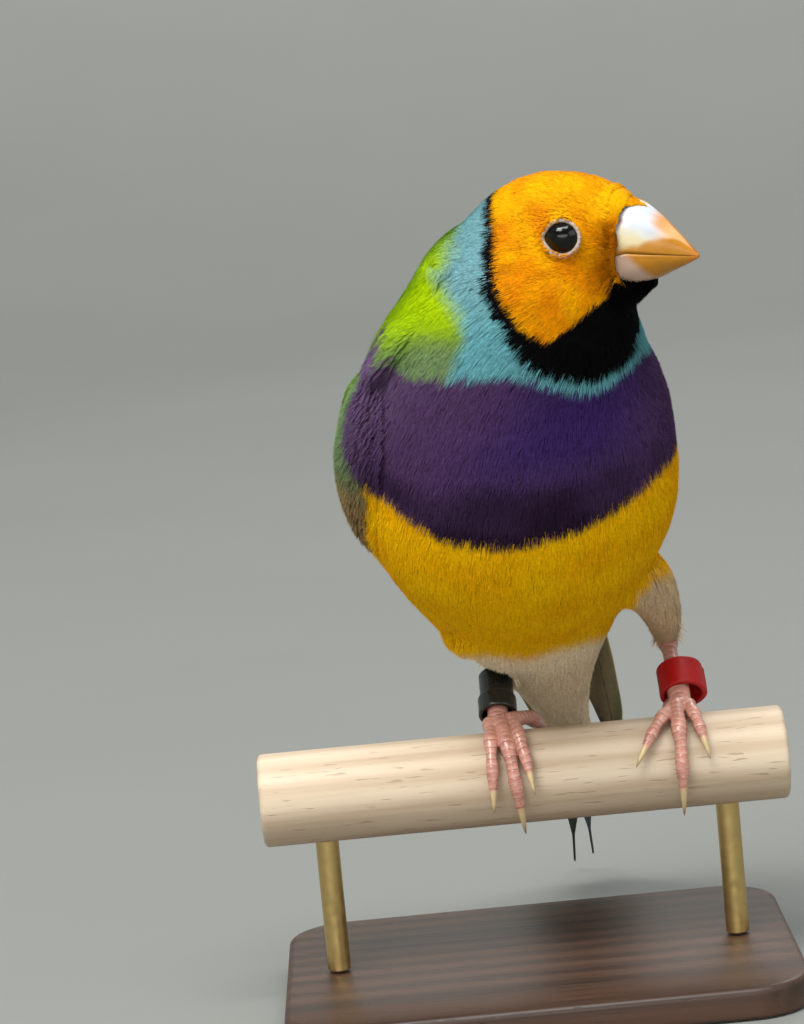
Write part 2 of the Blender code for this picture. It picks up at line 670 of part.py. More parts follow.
def build_claw(side, toe):
    points, radii = toe_path(side, toe, TOE_RINGS)
    tip = points[-1]
    ahead = unit(tip - points[-2])
    down = unit(np.array((0, -tip[1], -PERCH_RADIUS - tip[2])))
    length, root = CLAW_LENGTH[toe], radii[-1] * CLAW_ROOT
    path, sizes = [], []
    for t in np.linspace(0, 1, CLAW_RINGS):
        hook = CLAW_HOOK * length * t * t - CLAW_RAISED
        path.append(tip + ahead * (CLAW_GAP + length * t) + down * hook)
        sizes.append(root * (1 - t) ** CLAW_TAPER + CLAW_POINT)
    return tube(f"claw_{side}_{toe}", path, sizes, CLAW_ROUNDNESS, material="claw_horn")


def ring_ends(name):
    """The middles of a leg ring's two ends, and the direction of its axis up the leg."""
    side, up_shank, length, _, _, steeper, shift = RINGS[name]
    foot = np.array(FOOT[side])
    slope = unit(np.array(HEEL[side]) - foot)
    rise = math.asin(slope[2]) + math.radians(steeper)
    level = unit(np.array((slope[0], slope[1], 0.0)))
    axis = level * math.cos(rise) + np.array((0, 0, math.sin(rise)))
    middle = foot + slope * (up_shank + length / 2) + np.array((shift, 0, 0))
    return middle - axis * length / 2, middle + axis * length / 2, axis


def clear_of_rings(obj, worn=False):
    """Hollows a form where a leg ring sits against it, or only round what the ring is worn on."""
    for name in RINGS:
        low, high, axis = ring_ends(name)
        _, _, _, inner, outer, _, _ = RINGS[name]
        room = rod("ring_room", low - axis * GAP, high + axis * GAP, outer + GAP, 16, group="cutters")
        if worn:
            core = rod("ring_core", low - axis, high + axis, inner - GAP, 16, group="cutters")
            boolean(room, "DIFFERENCE", core)
            remove(core)
        boolean(obj, "DIFFERENCE", room)
        remove(room)


def clear_of_shanks(obj):
    """Makes the hollow in the plumage that each bare lower leg comes out of."""
    for side in ("left", "right"):
        foot, heel = np.array(FOOT[side]), np.array(HEEL[side])
        slope = unit(heel - foot)
        room = rod("shank_room", foot, heel + slope * 1.3, HEEL_RADIUS + GAP + 0.1, 14, group="cutters")
        boolean(obj, "DIFFERENCE", room)
        remove(room)


def bevel_rims(obj, width):
    """Takes the sharp edge off both ends of a round solid."""
    edge = obj.modifiers.new("edge", "BEVEL")
    edge.width = width * MM
    edge.segments = 1
    edge.limit_method = "ANGLE"
    apply_modifiers(obj)


def build_ring(name):
    _, _, _, inner, outer, _, _ = RINGS[name]
    low, high, axis = ring_ends(name)
    colour = "band_red" if name == "band_red" else "band_black"
    ring = rod(name, low, high, outer, RING_SIDES, material=colour)
    bevel_rims(ring, RING_EDGE)
    bore = rod("bore", low - axis, high + axis, inner, RING_SIDES, group="cutters")
    boolean(ring, "DIFFERENCE", bore)
    remove(bore)


def sheet_solid(name, top, bottom, **kind):
    """A thin closed solid between two like grids of points, split into triangles alike on both faces."""
    rows, columns = len(top), len(top[0])
    bm = bmesh.new()
    faces = []
    grids = [[[bm.verts.new(place(p)) for p in row] for row in grid] for grid in (top, bottom)]
    for grid, flip in ((grids[0], False), (grids[1], True)):
        for i in range(rows - 1):
            for j in range(columns - 1):
                a, b, c, d = grid[i][j], grid[i][j + 1], grid[i + 1][j + 1], grid[i + 1][j]
                for corner in ((a, b, c), (a, c, d)):
                    faces.append(corner[::-1] if flip else corner)
    rim = (
        [(0, j) for j in range(columns - 1)]
        + [(i, columns - 1) for i in range(rows - 1)]
        + [(rows - 1, j) for j in range(columns - 1, 0, -1)]
        + [(i, 0) for i in range(rows - 1, 0, -1)]
    )
    for (i, j), (k, m) in zip(rim, rim[1:] + rim[:1]):
        upper, lower = grids
        faces.append((upper[i][j], lower[i][j], lower[k][m]))
        faces.append((upper[i][j], lower[k][m], upper[k][m]))
    for corner in faces:
        bm.faces.new(corner)
    return make_object(name, bm, **kind)


def vane_width(t):
    """Share of the full half width at t from root to tip: broad, with a rounded end."""
    widening = VANE_ROOT + (1 - VANE_ROOT) * math.sin(min(t / VANE_FULL, 1) * math.pi / 2)
    rounding = 1 - max(t - VANE_ROUNDS, 0) ** 2 / VANE_ROUNDING
    return widening * math.sqrt(max(rounding, VANE_LEAST))


def held(side, along, degrees):
    """Where an angle laid out on a wing falls on the body, as it is held and narrows to its tip."""
    lower, tuck = WING_HELD[side]
    share = 1 - tuck * max(TUCK_START - along, 0) / TUCK_START
    return TUCK_ANGLE + (degrees + lower - TUCK_ANGLE) * share


def body_vane(body, side, root, tip, half_width, lift):
    """A vane laid on the body from root to tip, each a distance along and an angle round."""
    top, bottom = [], []
    for i in range(VANE_ROWS + 1):
        t = i / VANE_ROWS
        along = root[0] + (tip[0] - root[0]) * t
        angle = held(side, along, root[1] + (tip[1] - root[1]) * t)
        spread = math.degrees(half_width * vane_width(t) / body.girth_radius(along))
        height = lift[0] + (lift[1] - lift[0]) * t
        backed = min(max((along - WING_CORE[-1][0]) / VANE_BACKED, 0), 1)
        upper, lower = [], []
        for j in (-1, 0, 1):
            rise = height + VANE_TILT * j + (VANE_RIDGE if j == 0 else 0.0)
            free = rise - VANE_THICKNESS
            under = free + (min(free, VANE_FLOOR + VANE_UNDER) - free) * backed
            upper.append(body.point(along, angle + spread * j, side, rise))
            lower.append(body.point(along, angle + spread * j, side, under))
        top.append(upper)
        bottom.append(lower)
    return sheet_solid("vane_form", top, bottom)


def build_wing(name, hull, side, cutters):
    """A folded wing: a shaped core against the body, with tiers of coverts and flight feathers on it."""
    top, bottom = [], []
    for along, high, low, depth in smooth_table(WING_CORE, WING_CORE_ROWS):
        upper, lower = [], []
        for j in range(WING_CORE_COLUMNS):
            u = 2 * j / (WING_CORE_COLUMNS - 1) - 1
            angle = held(side, along, (low + high) / 2 + (low - high) / 2 * u)
            swell = max(depth * (1 - abs(u) ** 3), WING_CORE_LEAST)
            upper.append(hull.point(along, angle, side, VANE_FLOOR + swell))
            lower.append(hull.point(along, angle, side, VANE_FLOOR))
        top.append(upper)
        bottom.append(lower)
    wing = sheet_solid(name, top, bottom, material="wing_green")
    vanes = []
    for count, roots, tips, low, high, width, lift_root, lift_tip in WING_TIERS.values():
        for k in range(count):
            t = k / max(count - 1, 1)
            root = (roots[0] + (tips[0] - roots[0]) * t, low[0] + (high[0] - low[0]) * t)
            tip = (roots[1] + (tips[1] - roots[1]) * t, low[1] + (high[1] - low[1]) * t)
            vanes.append(body_vane(hull, side, root, tip, width, (lift_root, lift_tip)))
    boolean(wing, "UNION", vanes)
    remove(*vanes)
    for cutter in cutters:
        boolean(wing, "DIFFERENCE", cutter)
    keep_largest(wing)
    return wing


def middle_feather_width(t, length, half_width):
    """Half width of a middle tail feather at t from its root: it narrows early into a long thin point."""
    broad = (length - TAIL_FILAMENT) / length
    share = min(max((t - broad) / (1 - broad) + FILAMENT_START, 0), 1)
    return half_width * (vane_width(min(t, FILAMENT_FULL)) * (1 - share) + FILAMENT_WIDTH * share)


def build_tail(cutters):
    """Graduated feathers from the long middle pair outwards, each pair a step lower, on a common root."""
    root, tip = np.array(TAIL_ROOT), np.array(TAIL_TIP)
    back = unit(tip - root)
    left = unit(np.array((1.0, 0, 0)) - back[0] * back)
    up = np.cross(back, left)
    up = up if up[2] > 0 else -up
    feathers = []
    for rank, (shaft, offset, spread, half_width) in enumerate(TAIL_FEATHERS):
        for side in (1, -1):
            length = shaft + (TAIL_LONGER if rank == 0 and side < 0 else 0)
            angle = math.radians(spread) * side
            course = back * math.cos(angle) + left * math.sin(angle)
            across = left * math.cos(angle) - back * math.sin(angle)
            drop = rank * TAIL_STEP + (TAIL_PAIR_STEP if side > 0 else 0.0)
            rows = MIDDLE_ROWS if rank == 0 else TAIL_ROWS
            top, bottom = [], []
            for i in range(rows + 1):
                t = i / rows
                width = half_width * vane_width(t)
                if rank == 0:
                    width = middle_feather_width(t, length, half_width)
                middle = root + course * length * t + left * side * offset - up * drop
                upper = [middle + across * j * width - up * TAIL_ARCH * abs(j) for j in (-1, 0, 1)]
                top.append(upper)
                bottom.append([point - up * VANE_THICKNESS for point in upper])
            feathers.append(sheet_solid("rectrix_form", top, bottom))
    (start, reach), (half, deep) = TAIL_CORE, TAIL_CORE_SIZES
    core_rings = []
    for t in np.linspace(0, 1, TAIL_CORE_RINGS):
        wide, high = half * (1 - TAIL_CORE_TAPER[0] * t), deep * (1 - TAIL_CORE_TAPER[1] * t)
        middle = root + back * (start + reach * t) - up * TAIL_CORE_DROP
        core_rings.append(oval(middle, left, up, wide, high, high, TAIL_CORE_SIDES))
    tail = loft("tail", core_rings, material="tail_black")
    boolean(tail, "UNION", feathers)
    remove(*feathers)
    for cutter in cutters:
        boolean(tail, "DIFFERENCE", cutter)
    weld(tail, 0.002)
    keep_largest(tail)


def build_stand():
    end = PERCH_LENGTH / 2
    perch = rod(
        "perch", (-end - BIRD_X, 0, -PERCH_RADIUS), (end - BIRD_X, 0, -PERCH_RADIUS), PERCH_RADIUS, 36,
        material="dowel_beech",
    )
    bevel_rims(perch, PERCH_EDGE)
    base_top = BASE_THICKNESS - PERCH_TOP
    for name, offset in (("stand_rod_left", -ROD_SPACING / 2), ("stand_rod_right", ROD_SPACING / 2)):
        x = offset - BIRD_X
        foot, top = (x, 0, base_top + GAP), (x, 0, -PERCH_RADIUS)
        post = rod(name, foot, top, ROD_RADIUS, 16, material="stand_brass")
        dowel = dowel_cutter(PERCH_RADIUS + GAP)
        boolean(post, "DIFFERENCE", dowel)
        remove(dowel)
    bm = bmesh.new()
    bmesh.ops.create_cube(bm, size=1.0)
    bmesh.ops.scale(bm, vec=Vector((BASE_WIDTH, BASE_DEPTH, BASE_THICKNESS)) * MM, verts=bm.verts)
    bmesh.ops.translate(bm, vec=(0, 0, BASE_THICKNESS / 2 * MM), verts=bm.verts)
    uprights = [e for e in bm.edges if abs(e.verts[0].co.z - e.verts[1].co.z) > MM]
    corner, rim_edge = BASE_CORNER_RADIUS * MM, BASE_EDGE * MM
    bmesh.ops.bevel(bm, geom=uprights, offset=corner, segments=6, affect="EDGES", profile=0.5)
    rim = [e for e in bm.edges if all(v.co.z > (BASE_THICKNESS - 0.01) * MM for v in e.verts)]
    bmesh.ops.bevel(bm, geom=rim, offset=rim_edge, segments=2, affect="EDGES", profile=0.5)
    make_object("stand_base", bm, material="stand_wood")


def clear_scene():
    for obj in list(bpy.data.objects):
        bpy.data.objects.remove(obj)
    for name in ("finch", "cutters"):
        group = bpy.data.collections.new(name)
        bpy.context.scene.collection.children.link(group)
    bpy.data.collections["cutters"].hide_render = True


def main():
    clear_scene()
    for name in COLOURS:
        make_material(name)
    body, frame = BodySurface(BODY_STATIONS), HeadFrame()
    hull = BodySurface(HULL_STATIONS, HULL_START)
    flesh = build_flesh(body, frame)
    head, torso = divide_flesh(flesh)
    remove(flesh)
    build_lids(head, frame)
    build_bill(head, frame)
    keep_largest(head)
    for side, name in ((1, "eye_left"), (-1, "eye_right")):
        ball(name, eye_centre(frame, side), EYE_RADIUS, 14, 9, material="eye_dark")
    clear_of_rings(torso)
    clear_of_shanks(torso)
    keep_largest(torso)
    torso_grown = inflated(torso, GAP)
    left_wing = build_wing("wing_left", hull, 1, [torso_grown])
    left_grown = inflated(left_wing, GAP)
    right_wing = build_wing("wing_right", hull, -1, [torso_grown, left_grown])
    right_grown = inflated(right_wing, GAP)
    build_tail([torso_grown, left_grown, right_grown])
    for side in ("left", "right"):
        thigh = build_thigh(side, torso_grown)
        shank = build_shank(side, thigh)
        build_foot(side, shank)
        for toe in TOES[side]:
            build_claw(side, toe)
    remove(torso_grown, left_grown, right_grown)
    for name in RINGS:
        build_ring(name)
    build_stand()
    for obj in bpy.data.collections["finch"].objects:
        shade(obj)


main()
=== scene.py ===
"""The looks of a life-size Gouldian finch gripping a cut length of dowel on a display stand.

Sizes are in millimetres and places on the bird are measured from the middle of the dowel's top line. The
bird faces -Y, so its right side is towards -X, and its head is turned towards +X.
"""

import math

import bmesh
import bpy
import numpy as np
from mathutils import Matrix, Vector
from mathutils.kdtree import KDTree


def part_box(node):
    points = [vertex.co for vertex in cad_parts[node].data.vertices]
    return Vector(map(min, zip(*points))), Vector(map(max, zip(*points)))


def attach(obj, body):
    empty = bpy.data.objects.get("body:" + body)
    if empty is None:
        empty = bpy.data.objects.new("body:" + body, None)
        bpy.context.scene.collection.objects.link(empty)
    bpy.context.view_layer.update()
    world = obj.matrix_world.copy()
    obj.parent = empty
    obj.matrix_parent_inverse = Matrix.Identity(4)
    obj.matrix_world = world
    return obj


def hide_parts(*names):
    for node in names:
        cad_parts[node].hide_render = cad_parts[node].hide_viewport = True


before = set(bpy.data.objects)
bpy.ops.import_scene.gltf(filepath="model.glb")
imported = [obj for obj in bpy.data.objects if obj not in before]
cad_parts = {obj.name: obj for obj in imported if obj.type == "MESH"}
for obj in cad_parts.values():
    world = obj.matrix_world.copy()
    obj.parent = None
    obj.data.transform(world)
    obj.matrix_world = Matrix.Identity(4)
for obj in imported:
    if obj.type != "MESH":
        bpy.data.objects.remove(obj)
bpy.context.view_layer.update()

MM = 0.001
DRAWS = np.random.default_rng(7)

perch_low, perch_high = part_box("perch")
PERCH_RADIUS = (perch_high.z - perch_low.z) / 2 / MM
PERCH_LENGTH = (perch_high.x - perch_low.x) / MM
PERCH_TOP = perch_high.z / MM
BIRD_X = 9.0

# Body, wing bed and head, as in the solids: x, y, z, half width, depth to the back, depth to the belly, turn
BODY_STATIONS = np.array((
    (-1.6, 27.0, -6.6, 4.2, 2.3, 2.4, 5.0),
    (-2.1, 22.6, -2.4, 3.9, 3.3, 3.0, 6.0),
    (-3.7, 14.0, 6.0, 6.75, 6.4, 5.4, 8.0),
    (-5.4, 5.0, 16.5, 13.3, 12.6, 10.4, 12.0),
    (-6.0, -2.5, 28.5, 19.9, 17.0, 18.0, 16.0),
    (-6.1, -7.5, 40.0, 20.3, 16.8, 18.4, 20.0),
    (-5.9, -10.5, 49.0, 18.6, 14.8, 16.2, 30.0),
    (-4.7, -12.0, 56.5, 15.8, 12.6, 14.8, 42.0),
    (-3.8, -12.4, 62.0, 12.4, 11.0, 11.6, 55.0),
    (-3.2, -12.8, 65.8, 8.4, 7.6, 5.6, 60.0),
))
HULL_STATIONS = (
    (1.0, 41.0, -17.0, 6.4, 2.4, 3.0, 4.0),
    (-0.2, 32.0, -9.0, 6.7, 3.2, 3.6, 5.0),
    (-1.6, 23.5, -1.2, 7.2, 4.6, 5.0, 7.0),
    (-4.0, 14.0, 8.0, 9.4, 8.0, 8.2, 9.0),
    (-5.6, 5.0, 18.0, 14.2, 13.4, 13.6, 12.0),
    (-5.9, -2.5, 28.5, 19.6, 17.2, 18.2, 16.0),
    (-6.1, -7.5, 40.0, 20.7, 17.0, 18.6, 20.0),
    (-5.9, -10.5, 49.0, 19.0, 15.0, 15.8, 30.0),
    (-4.6, -12.0, 56.5, 15.2, 12.4, 13.0, 42.0),
)
HULL_START = -15.0
HEAD_CENTRE = np.array((1.6, -15.0, 62.3))
HEAD_TURN, HEAD_DROP = math.radians(65.0), math.radians(8.0)
HEAD_REACH = 13.5  # how far from its centre the head's own coat reaches
EYE_RADIUS, EYE_FORWARD, EYE_UP, EYE_OUT = 2.5, 2.1, 2.25, 5.95

# Coat: how far the skin lies inside the solids, on the head and on the body
COAT_HEAD, COAT_BODY = 0.45, 0.7
SKIN_VOXEL, SKIN_BRIDGE = 0.45, 0.22  # SKIN_BRIDGE closes the seams between the solids while they are fused
HEAD_GAP, BODY_GAP, COVERT_GAP = 0.35, 0.46, 0.46  # least gaps between the roots of tufts
HEAD_TRIES, BODY_TRIES, COVERT_TRIES = 26, 14, 30000  # roots tried: two a square millimetre, one a wing
EYE_ROOM, RING_ROOM, LEG_ROOM = 2.6, 0.35, 1.2  # kept free of roots round the eyes, the rings and the legs
BARBS, PIECE_LIMIT = 12, 190000  # barbs in a tuft, most triangles in a piece
BAKE_PATCH = 0.003  # a tuft's size on the bake map

# Markings. Head edges are in the head's side view (up -> forward, forward -> up). Body edges are heights by
# degrees round from the front.
MASK_REAR = (
    (-10.4, 2.4), (-9.0, -0.1), (-6.1, -2.6), (-3.3, -4.3), (-0.6, -5.2), (2.6, -6.8), (5.7, -8.6),
    (9.0, -9.4),
)
MASK_LOW = ((2.4, -10.4), (4.9, -8.0), (6.5, -5.8), (8.0, -4.0), (9.5, -3.0))
FRONT_TURN = ((8, -14), (26, -9), (35, 5), (45, 31), (52, 41), (60, 56))
BIB_LOW = ((0, 46.0), (15, 46.7), (28, 48.0), (40, 50.2), (50, 52.6), (66, 58.0), (80, 61.5))
COLLAR_LOW = (
    (0, 44.6), (9, 45.0), (25, 46.6), (40, 48.0), (57, 47.9), (69, 48.2), (79, 48.3), (93, 50.0),
    (101, 51.1), (112, 52.9), (123, 54.4),
)
BREAST_LOW = ((0, 26.6), (10, 27.0), (22, 27.8), (36, 29.7), (55, 32.8), (75, 34.9), (95, 37.0))
BELLY_LOW = ((0, 9.5), (20, 10.5), (45, 10.5), (90, 9.5), (130, 9.5))
BACK_FROM = ((5, 135.0), (20, 128.0), (32, 108.0), (45, 104.0), (48, 106.0), (50.5, 118.0), (54, 123.0))
LEFT_THIGH = np.array(((9.2, 1.5, 17.2), (11.9, 12.4, 8.6)))

# Bill: forward of the head's centre, height over the gape, depth under it, half width
BILL_STATIONS = np.array((
    (5.6, 6.1, 4.6, 4.1), (7.8, 6.2, 4.5, 4.1), (10.2, 5.7, 3.9, 3.6), (12.5, 4.3, 3.0, 2.75),
    (14.3, 2.9, 2.0, 1.85), (16.0, 1.45, 1.05, 0.95), (17.35, 0.22, 0.2, 0.2),
))
GAPE_UP = 0.55
NOSTRIL_FORWARD, NOSTRIL_UP, NOSTRIL_OUT = 7.85, 4.3, 3.35

# Legs and toes, as in the solids. Toes: degrees forward round the dowel at root and tip, sideways places of
# both, radii of both
HEEL = {"left": np.array((12.0, 13.0, 7.6)), "right": np.array((-11.0, 13.0, 7.6))}
FOOT = {"left": np.array((12.1, 0.4, 1.9)), "right": np.array((-11.5, 0.4, 1.9))}
TOES = {
    "left": {
        "inner": (6, 58, (-0.8, -5.2), (0.95, 0.65)), "middle": (6, 101, (-0.7, -1.1), (1.05, 0.72)),
        "outer": (6, 54, (0.8, 2.0), (0.95, 0.65)), "hind": (6, -92, (-0.3, -1.5), (1.05, 0.75)),
    },
    "right": {
        "inner": (6, 72, (1.7, 3.1), (0.95, 0.65)), "middle": (6, 106, (0.1, 1.6), (1.05, 0.72)),
        "outer": (6, 86, (-1.1, -1.6), (0.95, 0.65)), "hind": (6, -78, (0.6, 6.8), (1.05, 0.75)),
    },
}
CLAW_LENGTH = {"inner": 3.0, "middle": 4.0, "outer": 3.0, "hind": 4.2}
GAP, TOE_KNUCKLE = 0.3, 0.12
# Rings: leg, way up the shank, length, inner and outer radius, degrees steeper than the shank, shift in X
RINGS = {
    "band_red": ("left", 1.95, 4.2, 2.4, 3.0, 20.0, 0.6),
    "band_black_lower": ("right", 0.95, 2.7, 2.0, 2.5, 16.0, 0.0),
    "band_black_upper": ("right", 4.4, 4.2, 1.75, 2.2, 16.0, 0.0),
}


def srgb(red, green, blue):
    """A colour given on a screen's scale of 0 to 255, as linear light."""
    value = np.array((red, green, blue)) / 255
    return np.where(value <= 0.04045, value / 12.92, ((value + 0.055) / 1.055) ** 2.4)


ORANGE, ORANGE_DEEP, ORANGE_TOP_LIGHT = srgb(230, 142, 0), srgb(178, 92, 0), srgb(250, 184, 0)
BILL_BASE_SHADE, LID_PALE = srgb(136, 70, 0), srgb(176, 160, 146)
BLACK = srgb(5, 5, 7)
NAPE_BLUE, COLLAR_BLUE = srgb(120, 170, 178), srgb(104, 170, 178)
LIME, GREEN, GREEN_DULL = srgb(174, 208, 0), srgb(104, 144, 34), srgb(118, 142, 100)
PURPLE_BLUE, PURPLE, PURPLE_LOW_SHADE = srgb(60, 38, 98), srgb(84, 58, 98), srgb(33, 19, 38)
PURPLE_SIDE_SHEEN = srgb(112, 88, 124)
YELLOW, YELLOW_DEEP = srgb(255, 197, 0), srgb(247, 182, 0)
VENT, THIGH_BUFF, RUMP_BLUE = srgb(255, 232, 198), srgb(216, 188, 150), srgb(110, 170, 178)
WING_GREEN, WING_BROWN, WING_EDGE = srgb(92, 124, 50), srgb(96, 76, 46), srgb(160, 142, 100)
WING_TAN = srgb(190, 160, 112)
TAIL_BLACK, TAIL_GREEN, FILAMENT_GREY = srgb(20, 20, 20), srgb(34, 48, 34), srgb(92, 104, 116)
PEARL_WITH_SHEEN, CREAM, AMBER = srgb(192, 198, 206), srgb(200, 186, 142), srgb(174, 114, 8)
BILL_PINK, CULMEN, BILL_TIP = srgb(190, 160, 142), srgb(214, 142, 86), srgb(190, 116, 26)
BILL_FRONT_HIGHLIGHT, RIDGE_SHADE = srgb(222, 168, 110), srgb(112, 56, 30)
NOSTRIL_PINK, NOSTRIL_SHADE = srgb(206, 160, 140), srgb(96, 56, 46)
EYE_BROWN, EYE_BLACK = srgb(12, 7, 5), srgb(2, 2, 2)
LEG_PINK, LEG_ROSE = srgb(200, 140, 124), srgb(170, 110, 98)
SCUTE_HIGHLIGHT, GROOVE_SHADE = srgb(216, 174, 152), srgb(112, 70, 58)
CLAW_PINK, CLAW_HORN, CLAW_TIP = srgb(200, 154, 128), srgb(198, 174, 130), srgb(122, 92, 62)


def size_of(vectors):
    return np.linalg.norm(vectors, axis=-1)


def dot(a, b):
    return (a * b).sum(1)


def without(vectors, axes):
    """Vectors less their share along unit axes."""
    return vectors - axes * dot(vectors, axes)[:, None]


def unit(vector):
    return vector / np.linalg.norm(vector, axis=-1, keepdims=True)


def kept(keep, *arrays):
    return [a[keep] for a in arrays]


def place(points):
    """Points measured from the dowel's top line, in metres in the part's frame."""
    return (np.asarray(points, float) + (BIRD_X, 0.0, PERCH_TOP)) * MM


def unplace(points):
    return np.asarray(points, float) / MM - (BIRD_X, 0.0, PERCH_TOP)


def read(table, at):
    table = np.array(table, float)
    return np.interp(at, table[:, 0], table[:, 1])


def columns_at(at, rows_at, table):
    """All columns of a table, read at each place of at between the places of its rows."""
    return np.stack([np.interp(at, rows_at, table[:, i]) for i in range(table.shape[1])], -1)


def distances_along(path):
    return np.concatenate([[0], np.cumsum(size_of(np.diff(path, axis=0)))])


def smoothstep(value, low, high):
    t = np.clip((value - low) / (high - low), 0, 1)
    return t * t * (3 - 2 * t)


def mix(a, b, share):
    share = np.asarray(share)[..., None]
    return a * (1 - share) + b * share


def smooth_table(rows, count):
    """count rows read from a smooth curve through the rows of a table, evenly along their index."""
    rows = np.array(rows, float)
    last = len(rows) - 1
    slope = np.gradient(rows, axis=0)
    at = np.linspace(0, last, count)
    low = np.minimum(at.astype(int), last - 1)
    t = (at - low)[:, None]
    a, b, da, db = rows[low], rows[low + 1], slope[low], slope[low + 1]
    rest = 1 - t
    return a * (1 + 2 * t) * rest**2 + da * t * rest**2 + b * t * t * (3 - 2 * t) - db * t * t * rest


class BodySurface:
    """A middle line with a section at each distance along it, read for whole arrays at once."""

    def __init__(self, stations, start=0.0):
        table = smooth_table(stations, 220)
        self.line = table[:, :3]
        self.along = distances_along(self.line) + start
        self.sizes = table[:, 3:7]

    def read(self, table, along):
        return columns_at(along, self.along, table)

    def point(self, along, degrees, side=1, lift=0.0):
        """The place at a distance along, degrees round from the back, lifted off the surface."""
        along, degrees = np.broadcast_arrays(np.asarray(along, float), degrees)
        inside = np.clip(along, self.along[0], self.along[-1])
        forward = unit(self.read(self.line, inside + 0.6) - self.read(self.line, inside - 0.6))
        middle = self.read(self.line, inside) + forward * (along - inside)[..., None]
        width, back, belly, turn = np.moveaxis(self.read(self.sizes, inside), -1, 0)
        left = unit(np.array((1.0, 0, 0)) - forward[..., :1] * forward)
        dorsal = np.cross(forward, left)
        c, s = np.cos(np.radians(turn))[..., None], np.sin(np.radians(turn))[..., None]
        left, dorsal = left * c + dorsal * s, dorsal * c - left * s
        angle = np.radians(degrees)
        depth = np.where(np.cos(angle) > 0, back, belly)
        across, up = np.sin(angle) * side, np.cos(angle)
        outward = left * (across / np.maximum(width, 1))[..., None]
        outward = unit(outward + dorsal * (up / np.maximum(depth, 1))[..., None])
        middle = middle + left * (across * width)[..., None] + dorsal * (up * depth)[..., None]
        return middle + outward * np.broadcast_to(lift, along.shape)[..., None]

    def girth_radius(self, along):
        inside = np.clip(along, self.along[0], self.along[-1])
        sizes = self.read(self.sizes, inside)
        return np.maximum((sizes[..., 0] + sizes[..., 1]) / 2, 3.0)


HULL = BodySurface(HULL_STATIONS, HULL_START)
HEAD_FORWARD = np.array((
    math.sin(HEAD_TURN) * math.cos(HEAD_DROP), -math.cos(HEAD_TURN) * math.cos(HEAD_DROP),
    -math.sin(HEAD_DROP),
))
HEAD_LEFT = np.array((math.cos(HEAD_TURN), math.sin(HEAD_TURN), 0.0))
HEAD_UP = np.cross(HEAD_FORWARD, HEAD_LEFT)


def head_point(forward, up, left):
    forward, up, left = (np.asarray(value, float)[..., None] for value in (forward, up, left))
    return HEAD_CENTRE + HEAD_FORWARD * forward + HEAD_UP * up + HEAD_LEFT * left


def head_parts(points):
    offset = points - HEAD_CENTRE
    return offset @ HEAD_FORWARD, offset @ HEAD_UP, offset @ HEAD_LEFT


def body_middle(heights):
    return columns_at(heights, BODY_STATIONS[:, 2], BODY_STATIONS[:, :3])


def round_body(points):
    """Degrees round the body from its front, 0 to 180 on either side."""
    x, y, _ = (points - body_middle(points[:, 2])).T
    turn = np.degrees(np.arctan2(x, -y))
    return np.abs((turn - read(FRONT_TURN, points[:, 2]) + 180) % 360 - 180)


def ripple(points, size, seed):
    """Smooth noise about 0, built from a few crossing waves."""
    draws = np.random.default_rng(seed)
    total = 0
    for _ in range(5):
        direction = unit(draws.normal(size=3)) / size * draws.uniform(0.7, 1.4)
        total = total + np.sin(points @ direction * math.tau + draws.uniform(0, math.tau))
    return total / 3


def away_from_line(points, line):
    start, end = line
    along = end - start
    share = np.clip((points - start) @ along / (along @ along), 0, 1)
    return size_of(points - start - share[:, None] * along)


